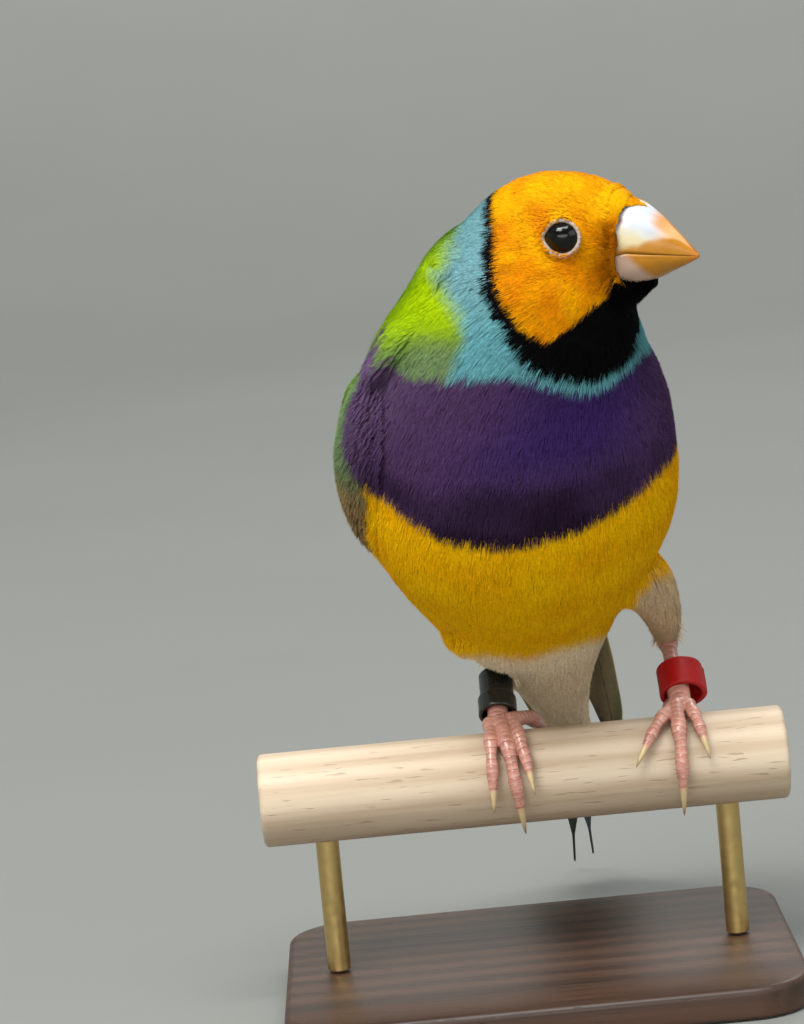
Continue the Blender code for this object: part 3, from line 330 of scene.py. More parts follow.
def plumage(points, jitter):
    """The markings: a colour for each place on the bird. jitter, in millimetres, frays their edges."""
    forward, up, _ = head_parts(points)
    around = round_body(points)
    height = points[:, 2] + jitter
    rear = np.maximum(points[:, 1] - 6, 0)
    on_face = height > 47

    # Back and belly first, then what lies over them
    blotch = ripple(points, 9.0, 1)
    purple = mix(PURPLE, PURPLE_BLUE, smoothstep(around, 60, 5) * smoothstep(height, 30, 40))
    # Paler purple round the sides: painted sheen
    purple = mix(purple, PURPLE_SIDE_SHEEN, smoothstep(around, 62, 108) * 0.8)
    # Darker low on the breast, where it turns under: painted shade
    purple = mix(purple, PURPLE_LOW_SHADE, smoothstep(height + 2 * blotch, 38, 29) * 0.9)
    yellow = mix(YELLOW, YELLOW_DEEP, np.clip(0.4 + 0.5 * blotch, 0, 1))
    colour = mix(VENT, yellow, smoothstep(height - read(BELLY_LOW, around) - rear, -1.2, 1.2))
    colour = mix(colour, purple, smoothstep(height - read(BREAST_LOW, around), -0.25, 0.25))

    thigh = smoothstep(away_from_line(points, LEFT_THIGH), 6.2, 5.2) * smoothstep(points[:, 0], 6.5, 8.0)
    colour = mix(colour, THIGH_BUFF, thigh * smoothstep(height, 19.5, 17.0))

    green = mix(GREEN, LIME, smoothstep(height, 50, 57) * smoothstep(around, 150, 110))
    green = mix(green, GREEN_DULL, smoothstep(height + blotch, 55, 50) * smoothstep(around, 125, 95) * 0.85)
    back = mix(RUMP_BLUE, green, smoothstep(height, 8, 15))
    side = around - read(BACK_FROM, height)
    colour = mix(colour, back, smoothstep(side, -3, 3) * (height > -14))

    # Collar and mantle: blue near the mask, then green
    behind = (forward - read(MASK_REAR, up)) * 0.85
    below = np.where(forward > 2.4, (up - read(MASK_LOW, forward)) * 0.75, 99)
    mask_edge = np.minimum(np.minimum(behind, below), up + 10.6) + jitter * 0.6
    collar = mix(COLLAR_BLUE, NAPE_BLUE, smoothstep(height, 52, 60))
    beyond = -mask_edge - 5.4 - 6 * smoothstep(around, 80, 50) + 0.5 * blotch + 1.5 * jitter
    nape = mix(collar, green, smoothstep(beyond, -1.6, 2.2))
    above = height - read(COLLAR_LOW, around) + (around > 55) * (2.0 * jitter + 0.5 * ripple(points, 2.2, 5))
    colour = mix(colour, nape, smoothstep(above, -0.35, 0.35))
    in_bib = smoothstep(height - read(BIB_LOW, around), -0.25, 0.25) * (around < 78) * (forward > -6)
    colour = mix(colour, BLACK, in_bib)
    line_width = 1.2 + 0.07 * np.maximum(-up, 0) + 0.2 * ripple(points, 2.0, 6)
    line = smoothstep(mask_edge + line_width, -0.15, 0.15) * on_face * (forward > -16)
    colour = mix(colour, BLACK, line)
    # Paler towards the crown: painted light from above, with random paler patches; the deep mottling is
    # weaker there too
    crown_light = smoothstep(up, 2.5, 8.0)
    orange = mix(ORANGE, ORANGE_TOP_LIGHT, np.clip(0.25 + 0.75 * crown_light + 0.5 * ripple(points, 5.0, 2), 0, 1))
    orange = mix(orange, ORANGE_DEEP, np.clip(0.35 * ripple(points, 3.0, 3), 0, 1) * (1 - 0.6 * crown_light))
    # Darker brown beside the bill's base: painted shade
    bill_base_shade = smoothstep(forward, 5.0, 7.3) * smoothstep(up, 4.6, 2.6) * smoothstep(up, -4.5, -1.5)
    orange = mix(orange, BILL_BASE_SHADE, np.clip(bill_base_shade + 0.3 * ripple(points, 1.6, 4) * bill_base_shade, 0, 1) * 0.85)
    return mix(colour, orange, smoothstep(mask_edge, -0.15, 0.15) * on_face)


# Plain tools for making pieces

def deselect():
    for other in bpy.context.selected_objects:
        other.select_set(False)


def lone(obj):
    deselect()
    obj.select_set(True)
    bpy.context.view_layer.objects.active = obj


def link_new(name, data):
    obj = bpy.data.objects.new(name, data)
    bpy.context.scene.collection.objects.link(obj)
    return obj


def apply_all(obj):
    lone(obj)
    for modifier in list(obj.modifiers):
        bpy.ops.object.modifier_apply(modifier=modifier.name)


def settle(obj):
    """Moves a piece's place and turn into its mesh."""
    lone(obj)
    bpy.ops.object.transform_apply(location=True, rotation=True, scale=True)


def join(name, pieces):
    lone(pieces[0])
    for piece in pieces:
        piece.select_set(True)
    bpy.ops.object.join()
    pieces[0].name = pieces[0].data.name = name
    return pieces[0]


def fuse(obj, voxel, rounds):
    """Turns a piece's overlapping forms into one softened skin and keeps the largest body of it."""
    remesh = obj.modifiers.new("fuse", "REMESH")
    remesh.mode = "VOXEL"
    remesh.voxel_size = voxel * MM
    obj.modifiers.new("soften", "SMOOTH").iterations = rounds
    apply_all(obj)
    keep_largest(obj)


def select_edges(obj, chosen):
    """In edit mode, selects the edges that chosen(a, b) picks by the heights of their ends."""
    bpy.ops.mesh.select_mode(type="EDGE")
    bpy.ops.mesh.select_all(action="DESELECT")
    bm = bmesh.from_edit_mesh(obj.data)
    for edge in bm.edges:
        edge.select_set(chosen(*(v.co.z for v in edge.verts)))
    bmesh.update_edit_mesh(obj.data)


def clear_uvs(obj):
    while obj.data.uv_layers:
        obj.data.uv_layers.remove(obj.data.uv_layers[0])


def all_values(items, title, width, kind=np.float32):
    """One setting of all items of a mesh, as rows of width values."""
    values = np.zeros(len(items) * width, kind)
    items.foreach_get(title, values)
    return values.reshape(-1, width)


def points_and_normals(obj):
    """A piece's points, in metres, and the way out at each."""
    return np.array([v.co for v in obj.data.vertices]), np.array([v.normal for v in obj.data.vertices])


def store_colours(mesh, title, colours):
    """Stores a colour at each point of a mesh."""
    values = np.concatenate([colours, np.ones((len(colours), 1))], 1).astype(np.float32)
    mesh.attributes.new(title, "FLOAT_COLOR", "POINT").data.foreach_set("color", values.ravel())


def tint(obj, colour, title="tint"):
    """Paints a piece's points: colour(points) takes places on the bird."""
    store_colours(obj.data, title, np.clip(colour(unplace(points_and_normals(obj)[0])), 0, 1))


def mesh_from_arrays(name, points, faces, colours, bake, vane=None, smooth=True):
    """One object from arrays: points in metres, faces all of the same number of corners."""
    faces = np.asarray(faces)
    mesh = bpy.data.meshes.new(name)
    mesh.vertices.add(len(points))
    mesh.vertices.foreach_set("co", np.asarray(points, np.float32).ravel())
    corners = faces.shape[1]
    mesh.loops.add(faces.size)
    mesh.loops.foreach_set("vertex_index", faces.ravel().astype(np.int32))
    mesh.polygons.add(len(faces))
    mesh.polygons.foreach_set("loop_start", np.arange(0, faces.size, corners, dtype=np.int32))
    mesh.polygons.foreach_set("use_smooth", np.full(len(faces), smooth))
    store_colours(mesh, "plumage", colours)
    for title, values in (("OFBake", bake), ("vane", vane)):
        if values is not None:
            layer = mesh.uv_layers.new(name=title)
            layer.data.foreach_set("uv", values[faces.ravel()].astype(np.float32).ravel())
    mesh.update(calc_edges=True)
    mesh.validate()
    return link_new(name, mesh)


def finish_piece(obj, material, slot, *nodes):
    obj.data.materials.clear()
    obj.data.materials.append(material)
    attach(obj, "root")
    if nodes:
        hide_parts(*nodes)
    return obj


# Materials

class Nodes:
    """Adds nodes to a tree with their settings and links in one line."""

    def __init__(self, tree):
        self.tree = tree

    def feed(self, socket, value):
        if isinstance(value, bpy.types.NodeSocket):
            self.tree.links.new(value, socket)
        else:
            socket.default_value = value

    def add(self, kind, settings=None, **links):
        node = self.tree.nodes.new(kind)
        for key, value in (settings or {}).items():
            setattr(node, key, value)
        for key, value in links.items():
            numbered = key[0] == "i" and key[1:].isdigit()
            self.feed(node.inputs[int(key[1:]) if numbered else key.replace("_", " ")], value)
        return node

    def maths(self, operation, *values):
        inputs = {f"i{i}": value for i, value in enumerate(values)}
        return self.add("ShaderNodeMath", {"operation": operation}, **inputs).outputs[0]

    def blend(self, kind, factor, a, b):
        node = self.tree.nodes.new("ShaderNodeMix")
        node.data_type = "RGBA"
        node.blend_type = kind
        for index, value in ((0, factor), (6, a), (7, b)):
            self.feed(node.inputs[index], value)
        return node.outputs[2]

    def ramp(self, value, *stops):
        node = self.add("ShaderNodeValToRGB", None, i0=value)
        for element, (at, colour) in zip(node.color_ramp.elements, stops):
            element.position = at
            element.color = (*colour, 1)
        return node.outputs[0]

    def attribute(self, title):
        return self.add("ShaderNodeAttribute", {"attribute_name": title}).outputs["Color"]

    def object_place(self):
        return self.add("ShaderNodeTexCoord").outputs["Object"]

    def finish(self, shader, colour, fine, least, spread, height, strength, depth):
        """Links a colour, a roughness that rises with fine from least by spread, and bump in millimetres."""
        bump = self.add("ShaderNodeBump", None, Strength=strength, Distance=depth * MM, Height=height)
        self.feed(shader.inputs["Base Color"], colour)
        self.feed(shader.inputs["Roughness"], self.maths("MULTIPLY_ADD", fine, spread, least))
        self.feed(shader.inputs["Normal"], bump.outputs[0])


def grain_group():
    """Fine noise on Object coordinates, about 0.5."""
    group = bpy.data.node_groups.new("fine_grain", "ShaderNodeTree")
    for title, kind, value in (
        ("Scale", "NodeSocketFloat", 1000.0), ("Stretch", "NodeSocketVector", (1, 1, 1)),
        ("Detail", "NodeSocketFloat", 3.0),
    ):
        group.interface.new_socket(name=title, in_out="INPUT", socket_type=kind).default_value = value
    group.interface.new_socket(name="Value", in_out="OUTPUT", socket_type="NodeSocketFloat")
    entry, leave = group.nodes.new("NodeGroupInput"), group.nodes.new("NodeGroupOutput")
    nodes = Nodes(group)
    stretched = nodes.add(
        "ShaderNodeVectorMath", {"operation": "MULTIPLY"}, i0=nodes.object_place(),
        i1=entry.outputs["Stretch"],
    )
    noise = nodes.add(
        "ShaderNodeTexNoise", None, Vector=stretched.outputs[0], Scale=entry.outputs["Scale"],
        Detail=entry.outputs["Detail"],
    )
    group.links.new(noise.outputs["Fac"], leave.inputs["Value"])
    return group


GRAIN = grain_group()


def start_material(name, **constants):
    material = bpy.data.materials.new(name)
    material.use_nodes = True
    shader = material.node_tree.nodes["Principled BSDF"]
    for key, value in constants.items():
        shader.inputs[key.replace("_", " ")].default_value = value
    return material, Nodes(material.node_tree), shader


def place_grain(nodes, scale, stretch=(1, 1, 1), detail=3.0):
    node = nodes.add("ShaderNodeGroup", {"node_tree": GRAIN}, Scale=scale, Stretch=stretch, Detail=detail)
    return node.outputs["Value"]


def feather_material(name, roughness, mottle, depth):
    """Plumage: the markings from the attribute, with barb-fine mottling and bump."""
    material, nodes, shader = start_material(name, Specular_IOR_Level=0.06)
    fine = place_grain(nodes, 2600.0, detail=2.0)
    shade = nodes.ramp(fine, (0.25, (1 - mottle,) * 3), (0.75, (1 + mottle * 0.5,) * 3))
    colour = nodes.blend("MULTIPLY", 1.0, nodes.attribute("plumage"), shade)
    nodes.finish(shader, colour, fine, roughness - 0.1, 0.2, fine, 0.5, depth)
    return material


def vane_material(name):
    """Flight feathers: barbs slant from the shaft across the vane's own UV."""
    material, nodes, shader = start_material(
        name, Sheen_Weight=0.15, Sheen_Roughness=0.4, Specular_IOR_Level=0.35
    )
    uv = nodes.add("ShaderNodeUVMap", {"uv_map": "vane"}).outputs[0]
    split = nodes.add("ShaderNodeSeparateXYZ", None, i0=uv)
    across = nodes.maths("ABSOLUTE", nodes.maths("SUBTRACT", split.outputs[1], 0.5))
    slant = nodes.maths("SUBTRACT", split.outputs[0], nodes.maths("MULTIPLY", across, 3.2))
    wave = nodes.maths("SINE", nodes.maths("MULTIPLY", slant, math.tau * 3.2))
    fine = place_grain(nodes, 1500.0)
    ridges = nodes.maths("MULTIPLY_ADD", fine, 0.8, wave)
    shaft = nodes.maths("LESS_THAN", across, 0.022)
    tone = nodes.maths("MULTIPLY_ADD", wave, 0.2, fine)
    shade = nodes.ramp(tone, (0.2, (0.72,) * 3), (0.8, (1.14,) * 3))
    colour = nodes.blend("MULTIPLY", 1.0, nodes.attribute("plumage"), shade)
    colour = nodes.blend("MIX", nodes.maths("MULTIPLY", shaft, 0.7), colour, (0.02, 0.016, 0.012, 1))
    nodes.finish(shader, colour, fine, 0.43, 0.25, ridges, 0.6, 0.06)
    return material


def simple_material(name, colour, roughness, grain, shift, bump, **constants):
    """A surface of one colour, varied by grain in colour, gloss and height."""
    material, nodes, shader = start_material(name, **constants)
    fine = place_grain(nodes, grain, (1, 1, 1), 5.0)
    dark = tuple(c * (1 - shift) for c in colour)
    light = tuple(min(c * (1 + shift * 0.6), 1) for c in colour)
    shade = nodes.ramp(fine, (0.3, dark), (0.7, light))
    nodes.finish(shader, shade, fine, roughness - 0.15, 0.3, fine, 0.5, bump)
    return material


def tinted_material(name, roughness, grain, mottle, bump, **constants):
    """A surface painted by its tint attribute, varied by grain in colour, gloss and height."""
    material, nodes, shader = start_material(name, **constants)
    fine = place_grain(nodes, grain, (1, 1, 1), 4.0)
    shade = nodes.ramp(fine, (0.3, (1 - mottle,) * 3), (0.7, (1 + mottle * 0.4,) * 3))
    colour = nodes.blend("MULTIPLY", 1.0, nodes.attribute("tint"), shade)
    nodes.finish(shader, colour, fine, roughness - 0.12, 0.25, fine, 0.5, bump)
    return material


def wood_material(name, light, dark, pores, ring_gap, roughness, fleck):
    """Wood cut along X: growth rings as arcs on the ends and lines on the sides, with short dark pores."""
    material, nodes, shader = start_material(name)
    moved = nodes.add("ShaderNodeMapping", None, Vector=nodes.object_place(), Location=(0, 0.021, -0.013))
    warp = place_grain(nodes, 60.0, (0.25, 1, 1), 3.0)
    split = nodes.add("ShaderNodeSeparateXYZ", None, i0=moved.outputs[0])
    squares = nodes.maths("ADD", *(nodes.maths("POWER", split.outputs[i], 2.0) for i in (1, 2)))
    radius = nodes.maths("ADD", nodes.maths("SQRT", squares), nodes.maths("MULTIPLY", warp, 0.0022))
    waves = nodes.maths("SINE", nodes.maths("MULTIPLY", radius, math.tau / ring_gap))
    rings = nodes.maths("MULTIPLY_ADD", waves, 0.5, 0.5)
    streak = place_grain(nodes, 1400.0, (0.035, 1, 1), 3.0)
    cloud = place_grain(nodes, 90.0, (0.3, 1, 1), 4.0)
    tone = nodes.maths("ADD", nodes.maths("MULTIPLY", rings, 0.30), nodes.maths("MULTIPLY", streak, 0.45))
    tone = nodes.maths("ADD", tone, nodes.maths("MULTIPLY", cloud, 0.35))
    wood = nodes.ramp(tone, (0.30, dark), (0.72, light))
    dash = place_grain(nodes, 3000.0, (0.09, 1, 1), 1.0)
    mark = nodes.ramp(dash, (0.67, (0, 0, 0)), (0.715, (1, 1, 1)))
    colour = nodes.blend("MIX", nodes.maths("MULTIPLY", mark, fleck), wood, (*pores, 1))
    height = nodes.maths("SUBTRACT", nodes.maths("MULTIPLY", streak, 0.5), mark)
    nodes.finish(shader, colour, streak, roughness - 0.15, 0.3, height, 0.6, 0.05)
    return material


# Skin: the flesh solids as one closed form, drawn inside them by the coat's depth

def skin_depth(points):
    """How far it lies inside the solids: the coat's depth, but none where they thin out at the bill."""
    forward, up, _ = head_parts(points)
    on_head = smoothstep(size_of(points - HEAD_CENTRE), 15, 10.5)
    thin = smoothstep(forward, 5.8, 7.2) * smoothstep(up, 3.2, 4.8)
    return (COAT_BODY + (COAT_HEAD - COAT_BODY) * on_head) * (1 - thin)


def build_skin():
    copies = []
    for name in ("head", "neck", "torso", "thigh_left", "thigh_right"):
        copy = link_new("flesh_" + name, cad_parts[name].data.copy())
        bm = bmesh.new()
        bm.from_mesh(copy.data)
        bmesh.ops.remove_doubles(bm, verts=bm.verts, dist=1e-6)
        bm.normal_update()
        for vert, co in [(v, v.co + v.normal * SKIN_BRIDGE * MM) for v in bm.verts]:
            vert.co = co
        bm.to_mesh(copy.data)
        bm.free()
        copies.append(copy)
    copies += [socket_filler(side) for side in (1, -1)]
    skin = join("skin", copies)
    fuse(skin, SKIN_VOXEL, 6)
    co, normals = points_and_normals(skin)
    sunk = co - normals * ((skin_depth(unplace(co)) + SKIN_BRIDGE) * MM)[:, None]
    skin.data.vertices.foreach_set("co", sunk.astype(np.float32).ravel())
    skin.data.update()
    return skin


def keep_largest(obj):
    """Deletes all but the largest of a piece's separate bodies."""
    bm = bmesh.new()
    bm.from_mesh(obj.data)
    left, islands = set(bm.verts), []
    while left:
        island, edge = set(), [left.pop()]
        while edge:
            vert = edge.pop()
            island.add(vert)
            for link in vert.link_edges:
                other = link.other_vert(vert)
                if other in left:
                    left.remove(other)
                    edge.append(other)
        islands.append(island)
    islands.remove(max(islands, key=len))
    bmesh.ops.delete(bm, geom=[v for island in islands for v in island], context="VERTS")
    bm.to_mesh(obj.data)
    bm.free()


def socket_filler(side):
    """Fills an eye's socket while the skin is made, so that the skin runs on behind the eye."""
    centre, radius = head_point(EYE_FORWARD, EYE_UP, side * (EYE_OUT - 0.6)), EYE_RADIUS + 0.5
    deselect()
    bpy.ops.mesh.primitive_uv_sphere_add(
        segments=32, ring_count=20, radius=radius * MM, location=Vector(place(centre))
    )
    filler = bpy.context.active_object
    settle(filler)
    return filler


def unwrap(obj):
    lone(obj)
    clear_uvs(obj)
    obj.data.uv_layers.new(name="OFBake")
    bpy.ops.object.mode_set(mode="EDIT")
    bpy.ops.mesh.select_all(action="SELECT")
    bpy.ops.uv.smart_project(angle_limit=math.radians(66), island_margin=0.004)
    bpy.ops.object.mode_set(mode="OBJECT")


# Coat: tufts of barbs rooted on the skin

def tree_of(points):
    tree = KDTree(len(points))
    for i, point in enumerate(points):
        tree.insert(point, i)
    tree.balance()
    return tree


def thin_out(points, gap):
    """Which points stay when each one drops those after it that lie nearer than gap."""
    tree = tree_of(points)
    alive = np.ones(len(points), bool)
    for i, point in enumerate(points):
        if alive[i]:
            for _, j, _ in tree.find_range(point, gap):
                alive[j] &= j <= i
    return alive


class SkinField:
    """The skin's triangles as arrays, with even sampling of roots over them."""

    def __init__(self, skin):
        mesh = skin.data
        mesh.calc_loop_triangles()
        corners = all_values(mesh.loop_triangles, "vertices", 3, np.int32)
        loops = all_values(mesh.loop_triangles, "loops", 3, np.int32)
        self.corners = unplace(all_values(mesh.vertices, "co", 3))[corners]
        self.normals = all_values(mesh.vertices, "normal", 3)[corners]
        self.uv = all_values(mesh.uv_layers["OFBake"].data, "uv", 2)[loops]
        first, second = (self.corners[:, i] - self.corners[:, 0] for i in (1, 2))
        self.area = size_of(np.cross(first, second)) / 2

    def nearest_uv(self, points):
        tree = tree_of(self.corners.mean(1))
        return np.array([self.uv[tree.find(point)[1]].mean(0) for point in points])

    def scatter(self, gap, wanted, tries):
        """Roots no nearer together than gap, among those that wanted(points) keeps."""
        dense = int(self.area.sum() * tries)
        pick = DRAWS.choice(len(self.area), dense, p=self.area / self.area.sum())
        share = DRAWS.random((dense, 2))
        flip = share.sum(1) > 1
        share[flip] = 1 - share[flip]
        weights = np.stack([1 - share.sum(1), share[:, 0], share[:, 1]], 1)[..., None]
        points = (self.corners[pick] * weights).sum(1)
        points, pick, weights = kept(wanted(points), points, pick, weights)
        points, pick, weights = kept(thin_out(points, gap), points, pick, weights)
        return points, unit((self.normals[pick] * weights).sum(1)), (self.uv[pick] * weights).sum(1)


BILL_BASE = head_point(8.6, 0.8, 0)


def flow(points, normals):
    """The way the feathers lie: out from the bill over the head, then down the body to the tail."""
    from_bill = points - BILL_BASE
    distance = size_of(from_bill)
    heights = points[:, 2]
    down = unit(body_middle(heights - 3) - body_middle(heights) + (0, 0.001, -0.001))
    share = np.where(distance < 14, 1.0, 0.28 + 0.72 * np.exp(-(distance - 14) / 16))[:, None]
    way = unit(from_bill) * share + down * (1 - share)
    way = way + 0.10 * np.stack([ripple(points, 7.0, seed) for seed in (11, 12, 13)], 1)
    return unit(without(way, normals) + 1e-6)


def grow_coat(name, roots, normals, ways, bake, length, width, height, bend, barb=0.1, paint=plumage,
              fray=0.2, lift=(0.72, 1.02)):
    """A tuft of fine barbs on every root, in pieces of fewer than PIECE_LIMIT triangles.

    Each barb is a slim closed spike that lies along its way and is coloured by the markings at its end.
    """
    count = len(roots)
    sides = np.cross(normals, ways)
    turn = DRAWS.normal(0, 0.09, count)[:, None]
    ways, sides = ways * np.cos(turn) + sides * np.sin(turn), sides * np.cos(turn) - ways * np.sin(turn)
    length, width, height = (size[:, None] for size in (length, width, height))
    many = (count, BARBS)
    spread = np.linspace(-1, 1, BARBS) + DRAWS.normal(0, 0.22, many)
    start = DRAWS.uniform(-0.1, 0.4, many) * length
    stop = (1 - 0.16 * spread**2) * DRAWS.normal(1, 0.10, many) * length
    low = height * DRAWS.uniform(0.15, 0.45, many)
    high = height * DRAWS.uniform(*lift, many) - bend * stop**2
    root_side, tip_side = spread * width * 0.32, (spread + DRAWS.normal(0, 0.12, many)) * width * 0.5
    along = np.stack([start, start, start, stop], 2)
    across = np.stack([root_side - barb / 2, root_side + barb / 2, root_side, tip_side], 2)
    rise = np.stack([low, low, low - barb * 0.6, high], 2)
    shares = ((ways, along), (sides, across), (normals, rise))
    points = roots[:, None, None] + sum(axis[:, None, None] * amount[..., None] for axis, amount in shares)
    ends = roots[:, None] + ways[:, None] * (stop * 0.85)[..., None] + sides[:, None] * tip_side[..., None]
    jitter = DRAWS.normal(0, fray, count * BARBS) + np.repeat(DRAWS.normal(0, fray * 0.6, count), BARBS)
    colours = paint(ends.reshape(-1, 3), jitter).reshape(count, BARBS, 1, 3)
    tone = np.clip(DRAWS.normal(1, 0.035, (count, 1)) * DRAWS.normal(1, 0.08, many), 0.7, 1.35)
    # Each barb is darker at its root and darkest at its underside point: painted shade; its tip is a little
    # lighter: painted light
    colours = np.clip(colours * tone[..., None, None] * np.array((0.82, 0.82, 0.75, 1.04))[:, None], 0, 1)
    patch = np.stack([along / length[..., None], across / width[..., None] + 0.5], 3)
    uv = bake[:, None, None] + patch * BAKE_PATCH
    spike = np.array(((0, 3, 1), (1, 3, 2), (2, 3, 0), (0, 1, 2)))
    tuft = (spike[None] + (np.arange(BARBS) * 4)[:, None, None]).reshape(-1, 3)
    per = PIECE_LIMIT // len(tuft)
    objects = []
    for part, first in enumerate(range(0, count, per)):
        last = min(first + per, count)
        faces = (tuft[None] + (np.arange(last - first) * BARBS * 4)[:, None, None]).reshape(-1, 3)
        title = name if count <= per else f"{name}_{part + 1}"
        objects.append(
            mesh_from_arrays(
                title, place(points[first:last].reshape(-1, 3)), faces, colours[first:last].reshape(-1, 3),
                uv[first:last].reshape(-1, 2), smooth=False,
            )
        )
    return objects


def eye_centre(side):
    return head_point(EYE_FORWARD, EYE_UP, side * EYE_OUT)


def eye_axis(side):
    return unit(HEAD_LEFT * side + HEAD_FORWARD * 0.22 + HEAD_UP * 0.04)


def eye_distance(points):
    return np.minimum(*(size_of(points - eye_centre(side)) for side in (1, -1)))


def on_head(points):
    return size_of(points - HEAD_CENTRE) < HEAD_REACH


def clear_of_bill(points):
    forward, up, left = head_parts(points)
    half = np.interp(forward, (7.5, 8.5, 10.5, 12.5), (4.4, 4.2, 3.7, 3.0))
    tall = np.interp(forward, (7.5, 9.5, 10.5), (6.4, 6.0, 5.4))
    deep = np.interp(forward, (7.5, 9.5, 10.5), (4.8, 4.2, 3.8))
    reach = (left / half) ** 2 + ((up - GAPE_UP) / np.where(up > GAPE_UP, tall, deep)) ** 2
    return ~((forward > 7.2) & (reach < 1.05))


def clear_of_legs(points):
    """Where no leg comes out of the coat."""
    keep = np.ones(len(points), bool)
    for side in ("left", "right"):
        low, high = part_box("shank_" + side)
        middle = unplace(np.array((low + high) / 2))
        keep &= size_of(points - middle - (0, 2, 3)) > LEG_ROOM
    return keep


def ring_line(name):
    """The lower end of a leg ring's axis, and the axis's direction up the leg."""
    side, up_shank, length, _, _, steeper, shift = RINGS[name]
    slope = unit(HEEL[side] - FOOT[side])
    rise = math.asin(slope[2]) + math.radians(steeper)
    level = unit(slope * (1, 1, 0))
    axis = level * math.cos(rise) + np.array((0, 0, math.sin(rise)))
    return FOOT[side] + slope * (up_shank + length / 2) + (shift, 0, 0) - axis * length / 2, axis


def clear_of_rings(points, room):
    keep = np.ones(len(points), bool)
    for name, (_, _, length, _, outer, _, _) in RINGS.items():
        low, axis = ring_line(name)
        offset = points - low
        along = offset @ axis
        away = size_of(offset - along[:, None] * axis)
        keep &= (away > outer + room) | (along < -room) | (along > length + room)
    return keep


def held(side, along, degrees):
    """Where an angle laid out on a wing falls on the body: a wing may be held lower and fold narrower."""
    lower, tuck = WING_HELD[side]
    share = 1 - tuck * np.maximum(TUCK_START - along, 0) / TUCK_START
    return TUCK_ANGLE + (degrees + lower - TUCK_ANGLE) * share


def wing_spread(along):
    """The upper and lower edge of the folded wing, in degrees round the body, and its swell."""
    table = smooth_table(WING_CORE, 60)[::-1]
    return tuple(np.interp(along, table[:, 0], table[:, i]) for i in (1, 2, 3))


def wing_angle(side, along, share, high, low):
    """The angle at a share from -1 at the folded wing's upper edge to 1 at its lower edge."""
    return held(side, along, (high + low) / 2 + (low - high) / 2 * share)


class WingShadow:
    """Where the folded wings lie over the body."""

    def __init__(self):
        along, across = np.meshgrid(np.linspace(4, 71, 90), np.linspace(-1, 1, 26), indexing="ij")
        high, low, _ = wing_spread(along)
        self.spots = np.concatenate([
            HULL.point(along, wing_angle(side, along, across, high, low), side, 1.0).reshape(-1, 3)
            for side in (1, -1)
        ])
        self.tree = tree_of(self.spots)

    def read(self, points, normals):
        """How near each place is to a wing, how squarely under it, and the way to it along the skin."""
        found = [self.tree.find(point) for point in points]
        near = np.array([distance for _, _, distance in found])
        toward = self.spots[[index for _, index, _ in found]] - points
        over = dot(toward, normals) / np.maximum(near, 1e-6)
        toward = without(toward, normals)
        return near, over, toward / np.maximum(size_of(toward), 0.3)[:, None]


def build_coat(skin):
    """Fine plumage all over the skin, as pieces with their slot and node."""
    field = SkinField(skin)
    coats = [(grow_head(field), "head_plumage", "head")]
    coats += [(grow_bill_edge(field, upper), "head_plumage", "head") for upper in (True, False)]
    coats += grow_body(field)
    for side, name in ((-1, "wing_right"), (1, "wing_left")):
        coats.append((grow_coverts(field, name, side), "wing_plumage", name))
    return coats


def grow_head(field):
    """The short, dense coat of the head, shorter still round the eyes."""
    def wanted(points):
        behind = points - HEAD_FORWARD * 0.45
        free = (eye_distance(points) > EYE_ROOM) & (eye_distance(behind) > EYE_ROOM + 0.05)
        return on_head(points) & free & clear_of_bill(points)

    roots, normals, bake = field.scatter(HEAD_GAP, wanted, HEAD_TRIES)
    forward, above, _ = head_parts(roots)
    rear = ~((normals @ HEAD_FORWARD > 0.2) & (forward > 7.0) & (above > 4.0))
    roots, normals, bake, forward = kept(rear, roots, normals, bake, forward)
    near_eye = eye_distance(roots)
    length = (0.9 + 0.7 * smoothstep(forward, 10.5, 2.0)) * np.interp(near_eye, (EYE_ROOM, 5.0), (0.30, 1.0))
    height = COAT_HEAD * np.interp(near_eye, (EYE_ROOM, 4.5), (0.7, 1.0))
    return grow_coat(
        "plumage_head", roots, normals, flow(roots, normals), bake, length, length * 0.6, height, 0.045,
        barb=0.085, lift=(0.5, 0.9),
    )


def grow_body(field):
    """The longer coat of neck, breast and belly, swept towards the wings and raised where it meets them."""
    roots, normals, bake = field.scatter(BODY_GAP, lambda p: ~on_head(p) & clear_of_legs(p), BODY_TRIES)
    near, over, toward = WingShadow().read(roots, normals)
    open_air = ~((over > 0.75) & (near < 3.4))
    roots, normals, bake, near, toward = kept(open_air, roots, normals, bake, near, toward)
    up = roots[:, 2]
    close = smoothstep(near, 4.5, 1.6) * (up > 12)
    mound = np.exp(-(((round_body(roots) - 128) / 24) ** 2) - ((up - 53) / 4.0) ** 2)
    ways = unit(flow(roots, normals) + toward * (close * 0.9)[:, None])
    length = np.interp(up, (-8, 5, 25, 45, 60), (2.2, 2.2, 2.0, 1.9, 1.6))
    length = length * (1 + 0.7 * np.maximum(close, mound))
    height = COAT_BODY + 1.2 * close + 1.1 * mound
    ends = roots + ways * length[:, None] + normals * height[:, None]
    free = clear_of_rings(ends, RING_ROOM) & clear_of_rings((roots + ends) / 2, RING_ROOM)
    tufts = kept(free, roots, normals, ways, bake, length, length * 0.5, height)
    up = up[free]
    coats = []
    for title, chosen, slot, node, fray in (
        ("neck", up > 48, "neck_plumage", "neck", 0.1),
        ("breast", (up <= 48) & (up > 26), "body_plumage", "torso", 0.15),
        ("belly", up <= 26, "body_plumage", "torso", 0.15),
    ):
        coats.append((grow_coat("plumage_" + title, *kept(chosen, *tufts), 0.022, fray=fray), slot, node))
    return coats


def all_black(points, jitter):
    return np.tile(BLACK, (len(points), 1))


